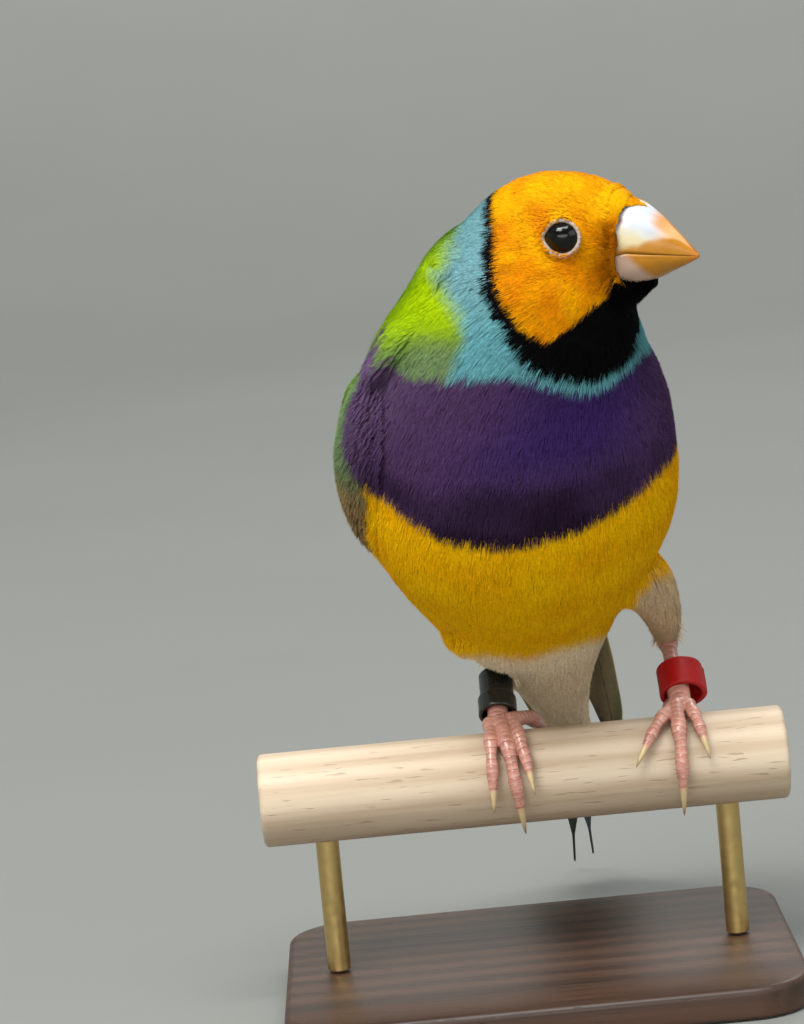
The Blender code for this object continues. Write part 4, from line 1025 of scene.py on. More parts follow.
def grow_bill_edge(field, upper):
    """The short feathers that run out in a point over the bill's ridge, and those under its base."""
    first, last, widest, count = (7.0, 11.0, 0.75, 700) if upper else (7.4, 12.0, 0.95, 900)
    forward = DRAWS.uniform(first, last, count)
    _, above, below, width = columns_at(forward, BILL_STATIONS[:, 0], BILL_STATIONS).T
    share = (last - forward) / (last - first)
    across = DRAWS.uniform(-1, 1, count) * widest * (0.15 + 0.85 * share) * width
    rise = (above if upper else -below) * np.maximum(1 - (across / width) ** 2, 0) ** 0.42
    roots = head_point(forward, GAPE_UP + rise, across)
    sideways = HEAD_LEFT * (across / width)[:, None]
    if upper:
        normals = unit(HEAD_UP + sideways * 0.9)
        ways = unit(normals * 0.12 - HEAD_FORWARD + sideways * 0.2)
        name, paint, length, height = "plumage_forehead", plumage, 0.9 + 0.4 * share, 0.35 + 0.45 * share
    else:
        ways = unit(-HEAD_FORWARD * 0.22 - HEAD_UP + sideways * 0.2)
        normals = unit(HEAD_FORWARD - HEAD_UP * 0.22 + sideways * 0.3)
        name, paint = "plumage_chin", all_black
        length, height = 1.0 + 2.7 * smoothstep(share, 0, 0.6), 0.3 + 0.1 * share
    bake = field.nearest_uv(roots)
    return grow_coat(
        name, roots, normals, ways, bake, length, length * 0.5, height, 0.05, barb=0.085, paint=paint
    )


def grow_coverts(field, name, side):
    """The soft feathers over the front half of a folded wing and along its leading edge."""
    along = DRAWS.uniform(26, 84, COVERT_TRIES)
    share = DRAWS.uniform(-1, 1.45, COVERT_TRIES)
    high, low, swell = wing_spread(along)
    shoulder = smoothstep(along, 69, 74)
    swell = swell * np.maximum(1 - np.abs(share) ** 3, 0) * (1 - 0.7 * shoulder)
    angle = wing_angle(side, along, share, high - 6 * shoulder, low + 12 * shoulder)
    rim = smoothstep(share, 0.20, 0.45)
    floor = VANE_FLOOR + 0.6 * rim * (1 - 0.5 * shoulder) - 1.5 * smoothstep(share, 0.94, 1.42)
    floor = floor - 2.0 * smoothstep(along, 70, 83) - 1.4 * shoulder * smoothstep(share, -0.1, -0.9)
    front = along > 58 - 6 * (1 - share) + DRAWS.normal(0, 1.0, COVERT_TRIES)
    edge = share > 0.34 + DRAWS.normal(0, 0.05, COVERT_TRIES)
    along, share, angle, rim, lift = kept(front | edge, along, share, angle, rim, floor + swell)
    roots = HULL.point(along, angle, side, lift)
    alive = thin_out(roots, COVERT_GAP)
    along, share, angle, rim, lift, roots = kept(alive, along, share, angle, rim, lift, roots)
    ways = unit(HULL.point(along - 0.5, angle + 0.3 - 0.9 * rim, side, lift) - roots)
    across = HULL.point(along, angle + 2, side, lift) - roots
    normals = unit(np.cross(ways, across)) * side
    outward = HULL.point(along, angle, side, lift + 1) - roots
    normals = normals * np.sign(dot(normals, outward))[:, None]
    length = np.interp(along, (28, 44, 60, 71), (2.4, 3.4, 2.8, 1.8)) * (1 - 0.3 * rim)
    height = 0.8 - 0.3 * smoothstep(share, 0.9, 1.4)

    def paint(points, jitter):
        edge, middle, distance = (np.repeat(values, BARBS) for values in (rim, share, along))
        height = points[:, 2] + jitter
        blotch = np.clip(0.5 + 0.6 * ripple(points, 2.6, 51), 0, 1)
        green = mix(GREEN_DULL, GREEN, smoothstep(middle, 0.6, -0.4) * 0.8)
        tan = mix(WING_BROWN, WING_TAN, 0.3 + 0.7 * blotch)
        colour = mix(mix(WING_BROWN, tan, edge), green, smoothstep(height + 2 * middle, 33, 40))
        inner = middle - np.interp(height, (33, 36, 39, 43), (1.25, 1.04, 0.78, 0.62))
        ahead = distance > 71 + 2 * jitter
        body = np.maximum(smoothstep(inner + 0.05 * jitter, -0.05, 0.05), ahead)
        return mix(colour, plumage(points, jitter), body)

    bake = field.nearest_uv(roots)
    name += "_coverts"
    return grow_coat(
        name, roots, normals, ways, bake, length, length * 0.55, height, 0.012, barb=0.12, paint=paint
    )


# Wings and tail: vanes as thin closed solids, each with a raised shaft and its own UV

# Degrees lower that each wing is held, and how much narrower it folds to its tip, drawn in to one angle
WING_HELD = {1: (-14.0, -0.10), -1: (0.0, 0.78)}
TUCK_ANGLE, TUCK_START = 12.0, 45.0
# Number of vanes; distances of the root and tip of the first and of the last, and the angles of the same;
# half width; lift at root and tip
WING_TIERS = {
    "primary": (9, (36, -7), (32, 11), (60, 58), (50, 32), 2.1, 0.7, 1.1),
    "secondary": (7, (45, 16), (44, 26), (70, 46), (44, 22), 3.0, 0.9, 1.4),
    "primary_covert": (5, (60, 42), (57, 38), (78, 66), (72, 60), 1.8, 0.8, 1.1),
    "greater_covert": (9, (57, 38), (53, 35), (74, 62), (44, 32), 2.5, 0.9, 1.4),
    "median_covert": (8, (62, 50), (57, 46), (70, 64), (47, 36), 2.3, 1.0, 1.5),
}
WING_CORE = (
    (71.0, 68.0, 78.0, 0.6), (68.5, 54.0, 87.0, 1.1), (62.0, 43.0, 90.0, 1.3), (50.0, 33.0, 79.0, 1.2),
    (38.0, 25.0, 64.0, 1.0), (26.0, 18.0, 58.0, 0.8), (15.0, 16.0, 54.0, 0.6),
)
VANE_FLOOR = 0.4
VANE_COLUMNS = 9
SHAFT_SHARE = 0.12  # the raised shaft's half width, as a share of the vane's
TAIL_ROOT, TAIL_TIP = np.array((-1.2, 26.0, -5.4)), np.array((0.4, 57.0, -30.8))
# Tail feathers from the middle pair outward: length, offset of the root, degrees outward, half width
TAIL_FEATHERS = (
    (40.0, 0.4, 1.4, 2.4), (26.0, 1.2, 2.6, 2.5), (25.0, 2.0, 4.0, 2.5), (23.5, 2.8, 5.4, 2.4),
    (21.5, 3.6, 6.8, 2.3), (19.5, 4.0, 8.0, 2.1),
)
TAIL_STEP, TAIL_FILAMENT, TAIL_LONGER = 0.38, 26.0, 2.2


def vane_width(t):
    """Share of the full half width at t from root to tip: broad, with a rounded end."""
    return (0.62 + 0.38 * np.sin(np.minimum(t / 0.55, 1) * math.pi / 2)) * np.sqrt(
        np.maximum(1 - np.maximum(t - 0.62, 0) ** 2 / 0.15, 0.02)
    )


def vane_grid(rows):
    """Shares from root to tip, as a column, and from edge to edge, as a row."""
    return np.linspace(0, 1, rows)[:, None], np.linspace(-1, 1, VANE_COLUMNS)[None]


def sheet_arrays(top, bottom):
    """Points and triangles of a thin closed solid between two like grids."""
    rows, columns = top.shape[:2]
    index = np.arange(rows * columns).reshape(rows, columns)
    a, b, c, d = index[:-1, :-1], index[:-1, 1:], index[1:, 1:], index[1:, :-1]
    upper = np.concatenate([np.stack(three, -1).reshape(-1, 3) for three in ((a, b, c), (a, c, d))])
    shift = rows * columns
    lower = upper[:, ::-1] + shift
    rim = np.concatenate([index[0, :-1], index[:-1, -1], index[-1, :0:-1], index[:0:-1, 0]])
    after = np.roll(rim, -1)
    under, beyond = rim + shift, after + shift
    sides = [np.stack(three, 1) for three in ((rim, under, beyond), (rim, beyond, after))]
    points = np.concatenate([top.reshape(-1, 3), bottom.reshape(-1, 3)])
    faces = np.concatenate([upper, lower, *sides])
    a, b, c = (points[faces[:, i]] for i in range(3))
    volume = dot(a, np.cross(b, c)).sum()
    return points, faces if volume > 0 else faces[:, ::-1]


class VaneSet:
    """Collects vanes into one object, each with its own square of the bake map."""

    def __init__(self, vanes):
        self.cells = math.ceil(math.sqrt(vanes))
        self.used = self.total = 0
        self.points, self.faces, self.colours, self.bake, self.vane = [], [], [], [], []

    def add(self, top, bottom, colours, length):
        points, faces = sheet_arrays(top, bottom)
        rows, columns = top.shape[:2]
        u, v = np.meshgrid(np.linspace(0, 1, rows), np.linspace(0, 1, columns), indexing="ij")
        own = np.stack([u.ravel() * length, v.ravel()], 1)
        cell = np.array((self.used % self.cells, self.used // self.cells)) / self.cells
        flat = np.stack([u.ravel() * 0.92 + 0.04, v.ravel() * 0.44 + 0.03], 1) / self.cells
        under = flat + (0, 0.5 / self.cells)
        self.points.append(points)
        self.faces.append(faces + self.total)
        self.colours.append(np.concatenate([colours.reshape(-1, 3)] * 2))
        self.bake.append(np.concatenate([flat, under]) + cell)
        self.vane.append(np.concatenate([own, own]))
        self.total += len(points)
        self.used += 1

    def build(self, name):
        points, *others = map(np.concatenate, (self.points, self.faces, self.colours, self.bake, self.vane))
        return mesh_from_arrays(name, place(points), *others)


def vane_colours(tier, t, j, shade, outermost):
    """Colour over a wing vane: green outer web, brown inner web, paler rim."""
    t, j = np.broadcast_arrays(t, j)
    if tier in ("primary", "primary_covert"):
        colour = mix(WING_BROWN, WING_GREEN, smoothstep(j, 0.15, 0.7) * 0.85)
        colour = mix(colour, WING_EDGE, smoothstep(j, 0.86, 1.0) * 0.5)
    elif tier == "secondary":
        colour = mix(WING_BROWN, WING_GREEN, smoothstep(j, -0.4, 0.1))
        colour = mix(colour, WING_EDGE, smoothstep(t, 0.93, 1.0) * 0.35)
    else:
        colour = mix(WING_GREEN * 0.8, GREEN, smoothstep(t, 0.2, 0.9))
    if tier != "secondary":
        colour = mix(colour, WING_TAN, outermost * (0.45 + 0.25 * np.sin(9 * t + 4 * j)))
    return np.clip(colour * shade, 0, 1)


def build_wing(name, side):
    tiers = VaneSet(70)
    rows, columns = 30, 12
    table = smooth_table(WING_CORE, rows)
    u = np.linspace(-1, 1, columns)
    along = np.repeat(table[:, 0:1], columns, 1)
    angle = wing_angle(side, along, u, table[:, 1:2], table[:, 2:3])
    swell = np.maximum(table[:, 3:4] * (1 - np.abs(u) ** 3), 0.35)
    floor = VANE_FLOOR - 0.4 * np.abs(u) ** 4
    under = HULL.point(along, angle, side, floor)
    # The core's purple upper part is darkened: painted shade under the vanes and coverts
    core_colour = mix(WING_BROWN, PURPLE * 0.7, smoothstep(under[..., 2], 34, 38))
    tiers.add(HULL.point(along, angle, side, floor + swell - 0.15), under, core_colour, 30.0)
    for tier, (count, *ends, width, lift_root, lift_tip) in WING_TIERS.items():
        first, last, first_angles, last_angles = np.array(ends, float)
        for k in range(count):
            share = k / (count - 1)
            root, tip = np.stack([mix(first, last, share), mix(first_angles, last_angles, share)], 1)
            tip = tip + DRAWS.normal(0, (0.35, 0.3))
            t, j = vane_grid(15)
            course = root + (tip - root) * t
            half = width * vane_width(t) * (1 + DRAWS.normal(0, 0.012, t.shape))
            spread = np.degrees(half / HULL.girth_radius(course[:, :1]))
            where = held(side, course[:, :1], course[:, 1:]) + spread * j
            ridge = 0.10 * np.exp(-((j / SHAFT_SHARE) ** 2))
            rise = lift_root + (lift_tip - lift_root) * t + 0.26 * j - 0.14 * j**2 + ridge
            rise = rise + (0.6 * smoothstep(where, 12, 0) if side < 0 else 0)
            top = HULL.point(course[:, :1] + 0 * j, where, side, rise)
            bottom = HULL.point(course[:, :1] + 0 * j, where, side, rise - 0.16 - 0.2 * (1 - t))
            length = size_of(top[-1, VANE_COLUMNS // 2] - top[0, VANE_COLUMNS // 2])
            colours = vane_colours(tier, t, j, DRAWS.normal(1, 0.06), smoothstep(share, 0.4, 0.0))
            tiers.add(top, bottom, colours, length)
    return tiers.build(name)


def build_tail():
    back = unit(TAIL_TIP - TAIL_ROOT)
    left = unit(np.array((1.0, 0, 0)) - back[0] * back)
    up = np.cross(left, back)
    up = up if up[2] > 0 else -up
    tiers = VaneSet(13)
    for rank, (shaft, offset, spread, half_width) in enumerate(TAIL_FEATHERS):
        for side in (1, -1):
            length = shaft + (TAIL_LONGER if rank == 0 and side < 0 else 0)
            turn = math.radians(spread) * side
            course = back * math.cos(turn) + left * math.sin(turn)
            across = unit(np.cross(up, course))
            across = across if across @ left > 0 else -across
            drop = rank * TAIL_STEP + (0.17 if side > 0 else 0.0)
            t, j = vane_grid(24)
            width = half_width * vane_width(t)
            if rank == 0:
                broad = (length - TAIL_FILAMENT) / length
                share = np.clip((t - broad) / (1 - broad) + 0.35, 0, 1)
                blade, filament = vane_width(np.minimum(t, 0.5)), 0.15 - 0.09 * t
                width = half_width * (blade * (1 - share) + filament * share)
            width = width * (1 + DRAWS.normal(0, 0.01, t.shape))
            middle = TAIL_ROOT + course * (length * t)[..., None] + left * side * offset - up * drop
            arch = -0.22 * j**2 + 0.12 * np.exp(-((j / SHAFT_SHARE) ** 2))
            top = middle + across * (j * width)[..., None] * side + up * (arch * np.ones_like(t))[..., None]
            bottom = top - up * (0.14 + 0.2 * (1 - t))[..., None]
            colours = mix(TAIL_BLACK, TAIL_GREEN, smoothstep(j + 0 * t, 0.3, 0.9) * 0.7)
            colours = colours * DRAWS.normal(1, 0.08)
            if rank == 0 and side > 0:
                colours = mix(colours, FILAMENT_GREY, smoothstep(t + 0 * j, 0.35, 0.7) * 0.8)
            tiers.add(top, bottom, np.clip(colours, 0, 1), length)
    return tiers.build("tail_feathers")


# Bill, eyes, legs, rings and stand: grids wrapped into shape

def wrap(name, around, along, shape):
    """A closed form from a flat grid: shape(u, v) gives places for shares 0 to 1 around and along it."""
    deselect()
    bpy.ops.mesh.primitive_grid_add(x_subdivisions=around, y_subdivisions=along, size=1.0)
    obj = bpy.context.active_object
    obj.name = obj.data.name = name
    u, v, _ = np.clip(all_values(obj.data.vertices, "co", 3, float) + 0.5, 0, 1).T
    obj.data.vertices.foreach_set("co", place(shape(u, v)).ravel())
    clear_uvs(obj)
    bpy.ops.object.mode_set(mode="EDIT")
    bpy.ops.mesh.select_all(action="SELECT")
    bpy.ops.mesh.remove_doubles(threshold=0.002 * MM)
    bpy.ops.mesh.normals_make_consistent(inside=False)
    bpy.ops.object.mode_set(mode="OBJECT")
    bpy.ops.object.shade_smooth()
    return obj


def nostril(side):
    return head_point(NOSTRIL_FORWARD, NOSTRIL_UP, side * NOSTRIL_OUT)


def bill_half(name, upper):
    table = smooth_table(BILL_STATIONS, 160)
    share = np.linspace(0, 1, 160)
    outer = 0.76  # share of the way round that is the horn's outside
    way = 1 if upper else -1

    def shape(u, v):
        at = 1 - (1 - v) ** 1.35
        forward, height, depth, width = columns_at(at, share, table).T
        size = height if upper else depth
        closing = smoothstep(v, 0, 0.03) * np.sqrt(np.clip((1 - v) / 0.03, 0, 1))
        gape = GAPE_UP - 0.7 * smoothstep(forward, 9.5, 7.0)
        gap = 0.02
        turn = math.pi * np.clip(u / outer, 0, 1)
        out = np.cos(turn) * width
        ridge = 1 + 0.035 * np.exp(-(((turn - math.pi / 2) / 0.22) ** 2)) * upper
        rise = gap + np.maximum(np.sin(turn), 0) ** (0.82 if upper else 0.88) * (size - gap) * ridge
        back = np.clip((u - outer) / (1 - outer), 0, 1)
        inner = u > outer
        out = np.where(inner, -width + 2 * width * back, out)
        rise = np.where(inner, gap + 0.22 * size * np.sin(math.pi * back), rise)
        if upper:
            pit = head_point(forward, gape + rise, out)
            for side in (1, -1):
                dip = np.exp(-((size_of(pit - nostril(side)) / 0.42) ** 2))
                out = out - side * 0.55 * dip * (np.sign(out) == side)
        return head_point(forward, gape + way * rise * closing, out * closing)

    def colour(points):
        forward, up, left = head_parts(points)
        over = (up - GAPE_UP) * way
        if upper:
            share = over / np.maximum(read(BILL_STATIONS[:, :2], forward), 0.3)
            # Pale bluish horn on top: the bill's pale horn with a painted highlight; creamier lower down and
            # further forward
            creamy = smoothstep(share + 0.04 * ripple(points, 2.0, 22), 0.62, 0.28)
            value = mix(PEARL_WITH_SHEEN, CREAM, creamy * smoothstep(forward, 6.5, 8.5))
            value = mix(value, CULMEN, smoothstep(forward, 11.0, 12.8) * smoothstep(share, 0.66, 0.84))
            # Paler orange over the front of the upper mandible: its orange horn with a painted highlight
            # along the side
            value = mix(value, BILL_FRONT_HIGHLIGHT, smoothstep(forward, 11.6, 14.6))
            edge = share - np.interp(forward, (7.5, 10.6, 13.1, 15.0), (0.06, 0.18, 0.50, 0.80))
            value = mix(value, AMBER, smoothstep(edge + 0.02 * ripple(points, 1.2, 24), 0.08, -0.08))
            away = np.minimum(*(size_of(points - nostril(side)) for side in (1, -1)))
            value = mix(value, NOSTRIL_PINK, np.exp(-((away / 0.75) ** 2)) * 0.7)
            # Dark in the nostril's pit: painted shade
            value = mix(value, NOSTRIL_SHADE, np.exp(-((away / 0.30) ** 2)) * 0.9)
        else:
            amber_from = forward - over * 1.1 + 0.1 * ripple(points, 1.5, 23)
            value = mix(BILL_PINK, AMBER, smoothstep(amber_from, 8.2, 9.9))
        value = mix(value, BILL_TIP, smoothstep(forward, 15.0, 17.2) * 0.8)
        # Brown along the ridge near the tip, where it turns away: painted shade
        ridge = smoothstep(np.abs(left), 0.5, 0.15) * smoothstep(forward, 11.5, 14.0) * upper
        value = mix(value, RIDGE_SHADE, ridge * smoothstep(over, 0.2, 0.6) * 0.6)
        return value * (1 + 0.05 * ripple(points, 1.6, 21)[:, None])

    obj = wrap(name, 96, 90, shape)
    tint(obj, colour)
    return obj


def eye_ball(name, side):
    axis = eye_axis(side)
    across = unit(np.cross(axis, HEAD_UP))
    above = np.cross(across, axis)
    centre = eye_centre(side)

    def shape(u, v):
        turn, tilt = math.tau * u, math.pi * v
        ring = np.sin(tilt)[:, None] * (across * np.cos(turn)[:, None] + above * np.sin(turn)[:, None])
        swell = EYE_RADIUS + 0.12 * smoothstep(np.cos(tilt), 0.75, 1.0)
        return centre + (axis * np.cos(tilt)[:, None] + ring) * swell[:, None]

    obj = wrap(name, 64, 40, shape)

    def colour(points):
        outward = (points - centre) @ axis / EYE_RADIUS
        return mix(EYE_BROWN, EYE_BLACK, smoothstep(outward, 0.72, 0.80))

    tint(obj, colour)
    return obj


def lid(side):
    """The ring of bare skin round an eye, drawn out to a corner at the rear."""
    axis = eye_axis(side)
    rear = unit(-HEAD_FORWARD - axis * (-HEAD_FORWARD @ axis))
    above = unit(HEAD_UP - axis * (HEAD_UP @ axis))
    middle = eye_centre(side) + axis * 1.62

    def shape(u, v):
        turn, roll = math.tau * v, math.tau * u
        out = rear * np.cos(turn)[:, None] + above * np.sin(turn)[:, None]
        corner = np.exp(-((((turn + math.pi) % math.tau - math.pi) + 0.15) / 0.34) ** 2)
        below = smoothstep(-np.sin(turn), 0.0, 1.0)
        thick = 0.20 + 0.10 * below + 0.02 * np.sin(turn * 23) + 0.02 * np.sin(turn * 41 + 1)
        major = 1.93 + thick + 0.06 * below - 0.10 * np.abs(np.sin(turn)) + 0.26 * corner
        fold = thick * (1 + 0.10 * np.cos(roll * 2))
        spot = middle + out * (major + np.cos(roll) * fold)[:, None]
        return spot + axis * (np.sin(roll) * fold * 1.1 - 0.35 * corner)[:, None]

    return wrap("lid", 20, 120, shape)


def toe_path(side, toe, count):
    start, end, (near, far), (thick, thin) = TOES[side][toe]
    t = np.linspace(0, 1, count)
    radius = (thick + (thin - thick) * t) * (1 + TOE_KNUCKLE * np.cos(t * math.tau * 2.5))
    reach = PERCH_RADIUS + GAP + thick * (1 + TOE_KNUCKLE)
    x = FOOT[side][0] + near + (far - near) * t ** (0.5 if toe == "hind" else 0.9)
    turn = np.radians(start + (end - start) * t)
    path = np.stack([x, -np.sin(turn) * reach, np.cos(turn) * reach - PERCH_RADIUS], 1)
    dorsal = np.stack([0 * x, -np.sin(turn), np.cos(turn)], 1)
    return path, radius, dorsal


def tube(name, path, radii, around=20):
    """A round closed form along a path, with rounded ends."""
    path, radii = np.asarray(path, float), np.asarray(radii, float)
    steps = distances_along(path)
    steps /= steps[-1]
    tangents = unit(np.gradient(path, axis=0))
    first = unit(np.cross(tangents[0], (0.3, 0.2, 1.0)))
    cap = 0.04  # share of the length that each rounded end takes

    def shape(u, v):
        at = np.clip((v - cap) / (1 - 2 * cap), 0, 1)
        middle = columns_at(at, steps, path)
        course = unit(columns_at(at, steps, tangents))
        radius = np.interp(at, steps, radii)
        end = np.where(v < cap, (v - cap) / cap, np.where(v > 1 - cap, (v - 1 + cap) / cap, 0))
        side = unit(first - course * (course @ first)[:, None])
        other = np.cross(course, side)
        turn = (math.tau * u)[:, None]
        ring = (side * np.cos(turn) + other * np.sin(turn)) * np.sqrt(np.maximum(1 - end**2, 0))[:, None]
        return middle + (ring + course * end[:, None]) * radius[:, None]

    return wrap(name, around, len(path) * 3, shape)


LEG_VOXEL = 0.11
SHANK_PITCH, SCUTE_PITCH = 1.25, 0.85  # lengths of the scutes on the shank and on the toes
ANKLE_RADIUS = {"left": 1.45, "right": 1.35}


def build_leg(side):
    """Shank, pad and four toes as one skin, with overlapping scutes on the shank's front and on the toes."""
    heel, foot = HEEL[side], FOOT[side]
    slope = unit(foot - heel)
    length = size_of(foot - heel)
    ankle = ANKLE_RADIUS[side]
    stations = (
        (-1.0, 0.9), (-0.2, 1.45), (1.2, 1.3), (3.0, 1.0), (length - 5.0, 1.1), (length - 2.5, ankle),
        (length - 0.9, ankle), (length, 1.3),
    )
    shank_line = smooth_table([(*(heel + slope * d), r) for d, r in stations], 28)
    parts = [tube("shank", shank_line[:, :3], shank_line[:, 3])]
    pad = np.array([foot - slope * 0.5, foot + slope * 0.3, foot + (0, -1.0, -0.05)])
    parts.append(tube("pad", smooth_table(pad, 8), (1.2, 1.3, 1.38, 1.42, 1.4, 1.35, 1.25, 1.1)))
    guides = [(shank_line[:, :3], shank_line[:, 3], np.tile((0.0, -0.8, 0.6), (28, 1)), SHANK_PITCH)]
    for toe in TOES[side]:
        path, radius, dorsal = toe_path(side, toe, 40)
        parts.append(tube("toe", path, radius))
        guides.append((path, radius, dorsal, SCUTE_PITCH))
    leg = join("leg_" + side, parts)
    fuse(leg, LEG_VOXEL, 5)

    co, normals = points_and_normals(leg)
    co = unplace(co)
    nearest = np.full(len(co), 1e9)
    phase, front = np.zeros(len(co)), np.zeros(len(co))
    for path, radius, dorsal, pitch in guides:
        gaps = size_of(co[:, None] - path[None])
        index = gaps.argmin(1)
        distance = gaps[np.arange(len(co)), index] - radius[index]
        closer = distance < nearest
        tangent = unit(np.gradient(path, axis=0))[index]
        offset = co - path[index]
        along = distances_along(path)[index] + dot(offset, tangent)
        along = along + 0.16 * ripple(co, 2.6, 36) + 0.05 * ripple(co, 0.8, 37)
        radial = unit(without(offset, tangent) + 1e-9)
        nearest[closer] = distance[closer]
        phase[closer] = ((along / pitch) % 1)[closer]
        front[closer] = dot(radial, dorsal[index])[closer]
    scute = smoothstep(front, 0.05, 0.45)
    step = (smoothstep(phase, 0.0, 0.16) - 0.55 * phase) * scute
    pebble = 0.5 * ripple(co, 0.34, 31) + 0.5 * ripple(co, 0.22, 32)
    fold = ripple(co * (1, 1.6, 1.6), 0.55, 33)
    lift = 0.095 * step + (1 - scute) * (0.035 * pebble + 0.025 * fold)
    leg.data.vertices.foreach_set("co", place(co + normals * lift[:, None]).astype(np.float32).ravel())
    leg.data.update()
    bpy.ops.object.shade_smooth()
    # Darker in the grooves between scutes and the hollows between pebbles: painted shade
    groove_shade = smoothstep(phase, 0.20, 0.02) * scute + smoothstep(-pebble, 0.3, 0.9) * (1 - scute) * 0.6
    blotch = np.clip(0.5 + 0.5 * ripple(co, 2.2, 34), 0, 1)
    value = mix(LEG_PINK, LEG_ROSE, blotch)
    # Paler towards each scute's end: painted highlight
    value = mix(value, SCUTE_HIGHLIGHT, scute * smoothstep(phase, 0.45, 0.95) * 0.5)
    value = mix(value, GROOVE_SHADE, np.clip(groove_shade, 0, 1) * 0.7)
    tint(leg, lambda points: value)
    return leg


def build_claw(side, toe):
    path, radius, _ = toe_path(side, toe, 12)
    ahead = unit(path[-1] - path[-2])
    down = unit(np.array((0, -path[-1][1], -PERCH_RADIUS - path[-1][2])))
    t = np.linspace(-0.12, 1, 22)[:, None]
    reach = CLAW_LENGTH[toe]
    line = path[-1] + ahead * (GAP + reach * t) + down * (-0.1 + 0.105 * reach * np.clip(t, 0, 1) ** 2)
    sizes = radius[-1] * 0.74 * (1 - np.clip(t[:, 0], 0, 1)) ** 0.7 + 0.05
    claw = tube(f"claw_{side}_{toe}_horn", line, sizes, 18)

    def colour(points):
        along = ((points - path[-1]) @ ahead - GAP) / reach
        value = mix(CLAW_PINK, CLAW_HORN, smoothstep(along, -0.1, 0.25))
        return mix(value, CLAW_TIP, smoothstep(along, 0.55, 1.0) * 0.8)

    tint(claw, colour)
    return claw


def build_ring(name):
    """A leg ring with eased edges. The red one is thicker over part of its round, where it laps over itself.
    """
    _, _, length, inner, outer, _, _ = RINGS[name]
    low, axis = ring_line(name)
    first = unit(np.cross(axis, (0, 0, 1.0)))
    second = np.cross(axis, first)
    profile = []
    for radius, height, ease, start in (
        (outer, length, 0.26, 0), (inner, length, 0.12, 90), (inner, 0.0, 0.12, 180),
        (outer, 0.0, 0.26, 270),
    ):
        inward = ease if radius == inner else -ease
        upward = ease if height == 0.0 else -ease
        for turn in np.radians(np.linspace(start, start + 90, 7)):
            out, up = inward + ease * math.cos(turn), upward + ease * math.sin(turn)
            profile.append((radius + out, height + up))
    profile = np.array(profile + profile[:1])
    steps = distances_along(profile)
    steps /= steps[-1]

    def shape(u, v):
        r, h = columns_at(u, steps, profile).T
        turn = math.tau * v
        if name == "band_red":
            lap = smoothstep(v, 0.0, 0.008) * smoothstep(v, 0.30, 0.02)
            r = r + 0.22 * lap * smoothstep(r, inner, inner + 0.3)
        r = r + 0.02 * np.sin(turn * 3 + h)
        out = first * np.cos(turn)[:, None] + second * np.sin(turn)[:, None]
        return low + axis * h[:, None] + out * r[:, None]

    return wrap(name + "_ring", 56, 128, shape)


def build_dowel():
    half, edge = PERCH_LENGTH / 2, 0.7
    eased = np.linspace(0, math.pi / 2, 7)[1:]
    end = np.concatenate([
        ((-half, 0.0), (-half, PERCH_RADIUS - edge)),
        np.stack([-half + edge * (1 - np.cos(eased)), PERCH_RADIUS - edge * (1 - np.sin(eased))], 1),
    ])
    between = np.linspace(-half + edge, half - edge, 30)[1:-1]
    rows = np.concatenate([end, np.stack([between, np.full(28, PERCH_RADIUS)], 1), end[::-1] * (-1, 1)])

    def shape(u, v):
        turn = math.tau * u
        x, radius = columns_at(v, np.linspace(0, 1, len(rows)), rows).T
        return np.stack([x - BIRD_X, radius * np.cos(turn), radius * np.sin(turn) - PERCH_RADIUS], 1)

    dowel = wrap("dowel", 96, 43, shape)
    bpy.ops.object.shade_smooth_by_angle(angle=math.radians(40))
    return dowel


def build_rod(name):
    low, high = (unplace(np.array(corner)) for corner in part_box(name))
    middle, radius = (low + high) / 2, (high[0] - low[0]) / 2
    foot, edge = low[2], 0.15
    top = -2 * PERCH_RADIUS + 0.15
    rows = np.array([(foot, 0), (foot, radius - edge), (foot + edge, radius), (top, radius), (top, 0)])

    def shape(u, v):
        z, r = columns_at(v, np.linspace(0, 1, len(rows)), rows).T
        turn = math.tau * u
        return np.stack([middle[0] + r * np.cos(turn), middle[1] + r * np.sin(turn), z], 1)

    rod = wrap(name + "_brass", 64, 4, shape)
    bpy.ops.object.shade_smooth_by_angle(angle=math.radians(30))
    return rod


def build_base():
    low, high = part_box("stand_base")
    deselect()
    bpy.ops.mesh.primitive_cube_add(size=1.0, location=(low + high) / 2)
    base = bpy.context.active_object
    base.name = base.data.name = "stand_board"
    base.scale = high - low
    settle(base)
    for radius, segments, chosen in (
        (8.0, 20, lambda a, b: abs(a - b) > 1e-4),
        (0.9, 6, lambda a, b: min(a, b) > high.z - 1e-5),
        (0.45, 4, lambda a, b: max(a, b) < low.z + 1e-5),
    ):
        bpy.ops.object.mode_set(mode="EDIT")
        select_edges(base, chosen)
        bpy.ops.mesh.bevel(offset=radius * MM, segments=segments, affect="EDGES")
        bpy.ops.object.mode_set(mode="OBJECT")
    bpy.ops.object.shade_smooth_by_angle(angle=math.radians(30))
    return base


# Camera, light and floor

CAMERA_TILT, CAMERA_ROLL, CAMERA_DISTANCE, PIXELS_PER_MM = 8.0, 5.47, 450.0, 7.83
IMAGE_LONG_SIDE = 1024


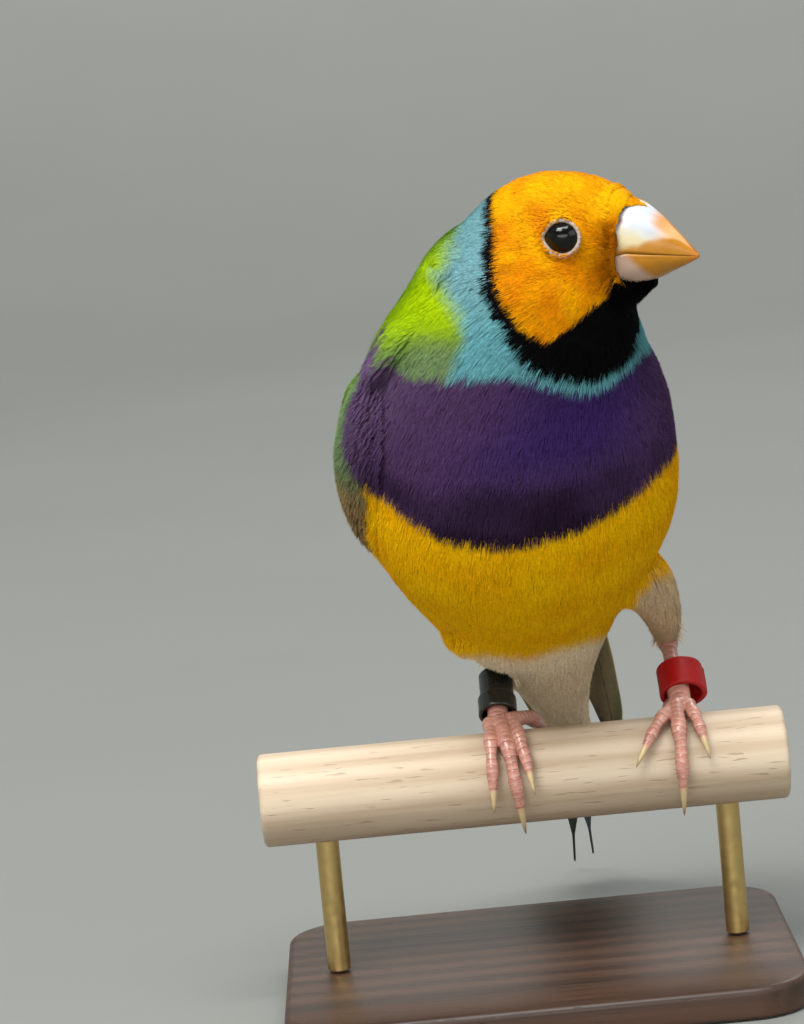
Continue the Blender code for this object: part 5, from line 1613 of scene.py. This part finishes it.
def build_camera():
    tilt, roll = math.radians(CAMERA_TILT), math.radians(CAMERA_ROLL)
    aim = np.array((-21.3, 0.0, 29.5 / math.cos(tilt)))
    ahead = np.array((0, math.cos(tilt), -math.sin(tilt)))
    level = np.array((1.0, 0, 0))
    above = np.cross(level, ahead)
    right = math.cos(roll) * level - math.sin(roll) * above
    top = math.sin(roll) * level + math.cos(roll) * above
    data = bpy.data.cameras.new("camera")
    data.sensor_width = 36.0
    data.lens = data.sensor_width * PIXELS_PER_MM * CAMERA_DISTANCE / IMAGE_LONG_SIDE
    data.clip_start, data.clip_end = 0.01, 20.0
    camera = link_new("camera", data)
    camera.matrix_world = Matrix.LocRotScale(
        Vector(place(aim - ahead * CAMERA_DISTANCE)), Matrix(np.stack([right, top, -ahead], 1)), None
    )
    bpy.context.scene.camera = camera


def area_light(name, location, size, power, colour=(1, 1, 1)):
    data = bpy.data.lights.new(name, "AREA")
    data.shape = "RECTANGLE"
    data.size, data.size_y = size
    data.energy = power
    data.color = colour
    light = link_new(name, data)
    light.location = location
    light.rotation_euler = (Vector(LIGHT_AIM) - Vector(location)).to_track_quat("-Z", "Y").to_euler()


LIGHT_AIM = (0.01, -0.01, 0.075)
STAGE_RADIUS, STAGE_WALL, STAGE_SWEEP = 1.7, 1.5, 0.8
STAGE_DROP = 0.0002  # how far the floor lies under the stand


def backdrop_paint():
    """Matt pale paint, darker over the floor than up the wall: painted shade on the floor."""
    material, nodes, shader = start_material("backdrop_paint", Roughness=0.92)
    split = nodes.add("ShaderNodeSeparateXYZ", None, i0=nodes.object_place())
    rise = nodes.maths("MULTIPLY_ADD", place_grain(nodes, 9.0), 0.05, split.outputs[2])
    colour = nodes.ramp(rise, (0.0, (0.195, 0.202, 0.19)), (0.5, (0.42, 0.44, 0.408)))
    nodes.feed(shader.inputs["Base Color"], colour)
    return material


def build_studio():
    deselect()
    bpy.ops.mesh.primitive_circle_add(
        vertices=96, radius=STAGE_RADIUS, fill_type="NGON", location=(0, 0, -STAGE_DROP)
    )
    floor = bpy.context.active_object
    floor.name = "floor"
    bpy.ops.object.mode_set(mode="EDIT")
    select_edges(floor, lambda a, b: True)
    bpy.ops.mesh.extrude_region_move(TRANSFORM_OT_translate={"value": (0, 0, STAGE_WALL)})
    select_edges(floor, lambda a, b: max(a, b) < 0.01)
    bpy.ops.mesh.bevel(offset=STAGE_SWEEP, segments=20, affect="EDGES")
    bpy.ops.mesh.select_all(action="SELECT")
    bpy.ops.mesh.normals_make_consistent(inside=True)
    bpy.ops.object.mode_set(mode="OBJECT")
    bpy.ops.object.shade_smooth_by_angle(angle=math.radians(40))
    settle(floor)
    floor.data.materials.append(backdrop_paint())
    area_light("key", (-0.55, -0.75, 1.35), (0.9, 0.6), 22.0, (1.0, 0.985, 0.955))
    area_light("strip", (0.0, -0.55, 1.35), (1.3, 0.22), 12.0)
    area_light("fill", (1.15, -0.8, 0.5), (0.8, 0.8), 3.0, (0.95, 0.975, 1.0))
    area_light("low", (-0.15, -1.3, 0.12), (1.6, 0.7), 13.0, (1.0, 0.985, 0.96))
    area_light("back", (0.3, 1.1, 1.1), (1.0, 0.5), 8.0)
    world = bpy.data.worlds.new("studio_air")
    world.use_nodes = True
    air = world.node_tree.nodes["Background"]
    air.inputs["Color"].default_value = (0.95, 0.975, 1.0, 1)
    air.inputs["Strength"].default_value = 0.42
    bpy.context.scene.world = world
    bpy.context.scene.view_settings.view_transform = "Standard"


def main():
    build_camera()
    build_studio()
    feathers = feather_material("plumage_barbs", roughness=0.75, mottle=0.22, depth=0.06)
    vanes = vane_material("flight_vanes")
    skin_paint = feather_material("skin_under_plumage", roughness=0.85, mottle=0.2, depth=0.1)

    skin, lids = build_skin(), [lid(1), lid(-1)]
    # The skin takes the markings darkened: painted shade in the gaps between the tufts
    tint(skin, lambda points: plumage(points, 0) * 0.7, "plumage")
    for bare in lids:
        tint(bare, lambda points: LID_PALE * (1 + 0.12 * ripple(points, 0.5, 41)[:, None]), "plumage")
    skin = join("skin", [skin, *lids])
    unwrap(skin)
    lone(skin)
    bpy.ops.object.shade_smooth()
    finish_piece(skin, skin_paint, "body_plumage", "torso", "neck", "head", "thigh_left", "thigh_right")
    for grown, slot, node in build_coat(skin):
        for piece in grown:
            finish_piece(piece, feathers, slot, node)
    finish_piece(build_wing("wing_right_feathers", -1), vanes, "wing_plumage", "wing_right")
    finish_piece(build_wing("wing_left_feathers", 1), vanes, "wing_plumage", "wing_left")
    finish_piece(build_tail(), vanes, "tail_plumage", "tail")

    horn = tinted_material("bill_horn", 0.30, 500.0, 0.05, 0.02, Specular_IOR_Level=0.45, Coat_Weight=0.15)
    wet = tinted_material(
        "eye_surface", 0.16, 300.0, 0.05, 0.0, Specular_IOR_Level=0.15, Coat_Weight=0.4, Coat_Roughness=0.02
    )
    scales = tinted_material("leg_scales", 0.34, 1800.0, 0.12, 0.03, Coat_Weight=0.45, Coat_Roughness=0.14)
    claw_horn = tinted_material("claw_horn", 0.32, 700.0, 0.12, 0.02, Coat_Weight=0.2)
    red = simple_material("ring_red", (0.36, 0.004, 0.005), 0.45, 420.0, 0.2, 0.03, Specular_IOR_Level=0.3)
    black = simple_material("ring_black", (0.006, 0.008, 0.007), 0.28, 420.0, 0.3, 0.03, Coat_Weight=0.3)
    beech_colours = srgb(206, 188, 164), srgb(180, 158, 132), srgb(132, 102, 76)
    beech = wood_material("beech", *beech_colours, 0.0031, 0.62, 0.42)
    board_colours = srgb(74, 50, 36), srgb(42, 26, 19), srgb(20, 12, 9)
    board = wood_material("dark_hardwood", *board_colours, 0.0042, 0.42, 0.5)
    brass = simple_material("brass", (0.60, 0.43, 0.17), 0.34, 900.0, 0.08, 0.01, Metallic=1.0)

    finish_piece(bill_half("bill_upper_horn", True), horn, "bill", "bill_upper")
    finish_piece(bill_half("bill_lower_horn", False), horn, "bill", "bill_lower")
    for side, sign in (("left", 1), ("right", -1)):
        finish_piece(eye_ball(f"eye_{side}_ball", sign), wet, "eye", "eye_" + side)
        finish_piece(build_leg(side), scales, "leg_skin", "shank_" + side, "foot_" + side)
        for toe in TOES[side]:
            finish_piece(build_claw(side, toe), claw_horn, "claw", f"claw_{side}_{toe}")
        finish_piece(build_rod("stand_rod_" + side), brass, "stand_metal", "stand_rod_" + side)
    for name in RINGS:
        material, slot = (red, "band_red") if name == "band_red" else (black, "band_black")
        finish_piece(build_ring(name), material, slot, name)
    finish_piece(build_dowel(), beech, "perch_wood", "perch")
    finish_piece(build_base(), board, "stand_wood", "stand_base")


main()
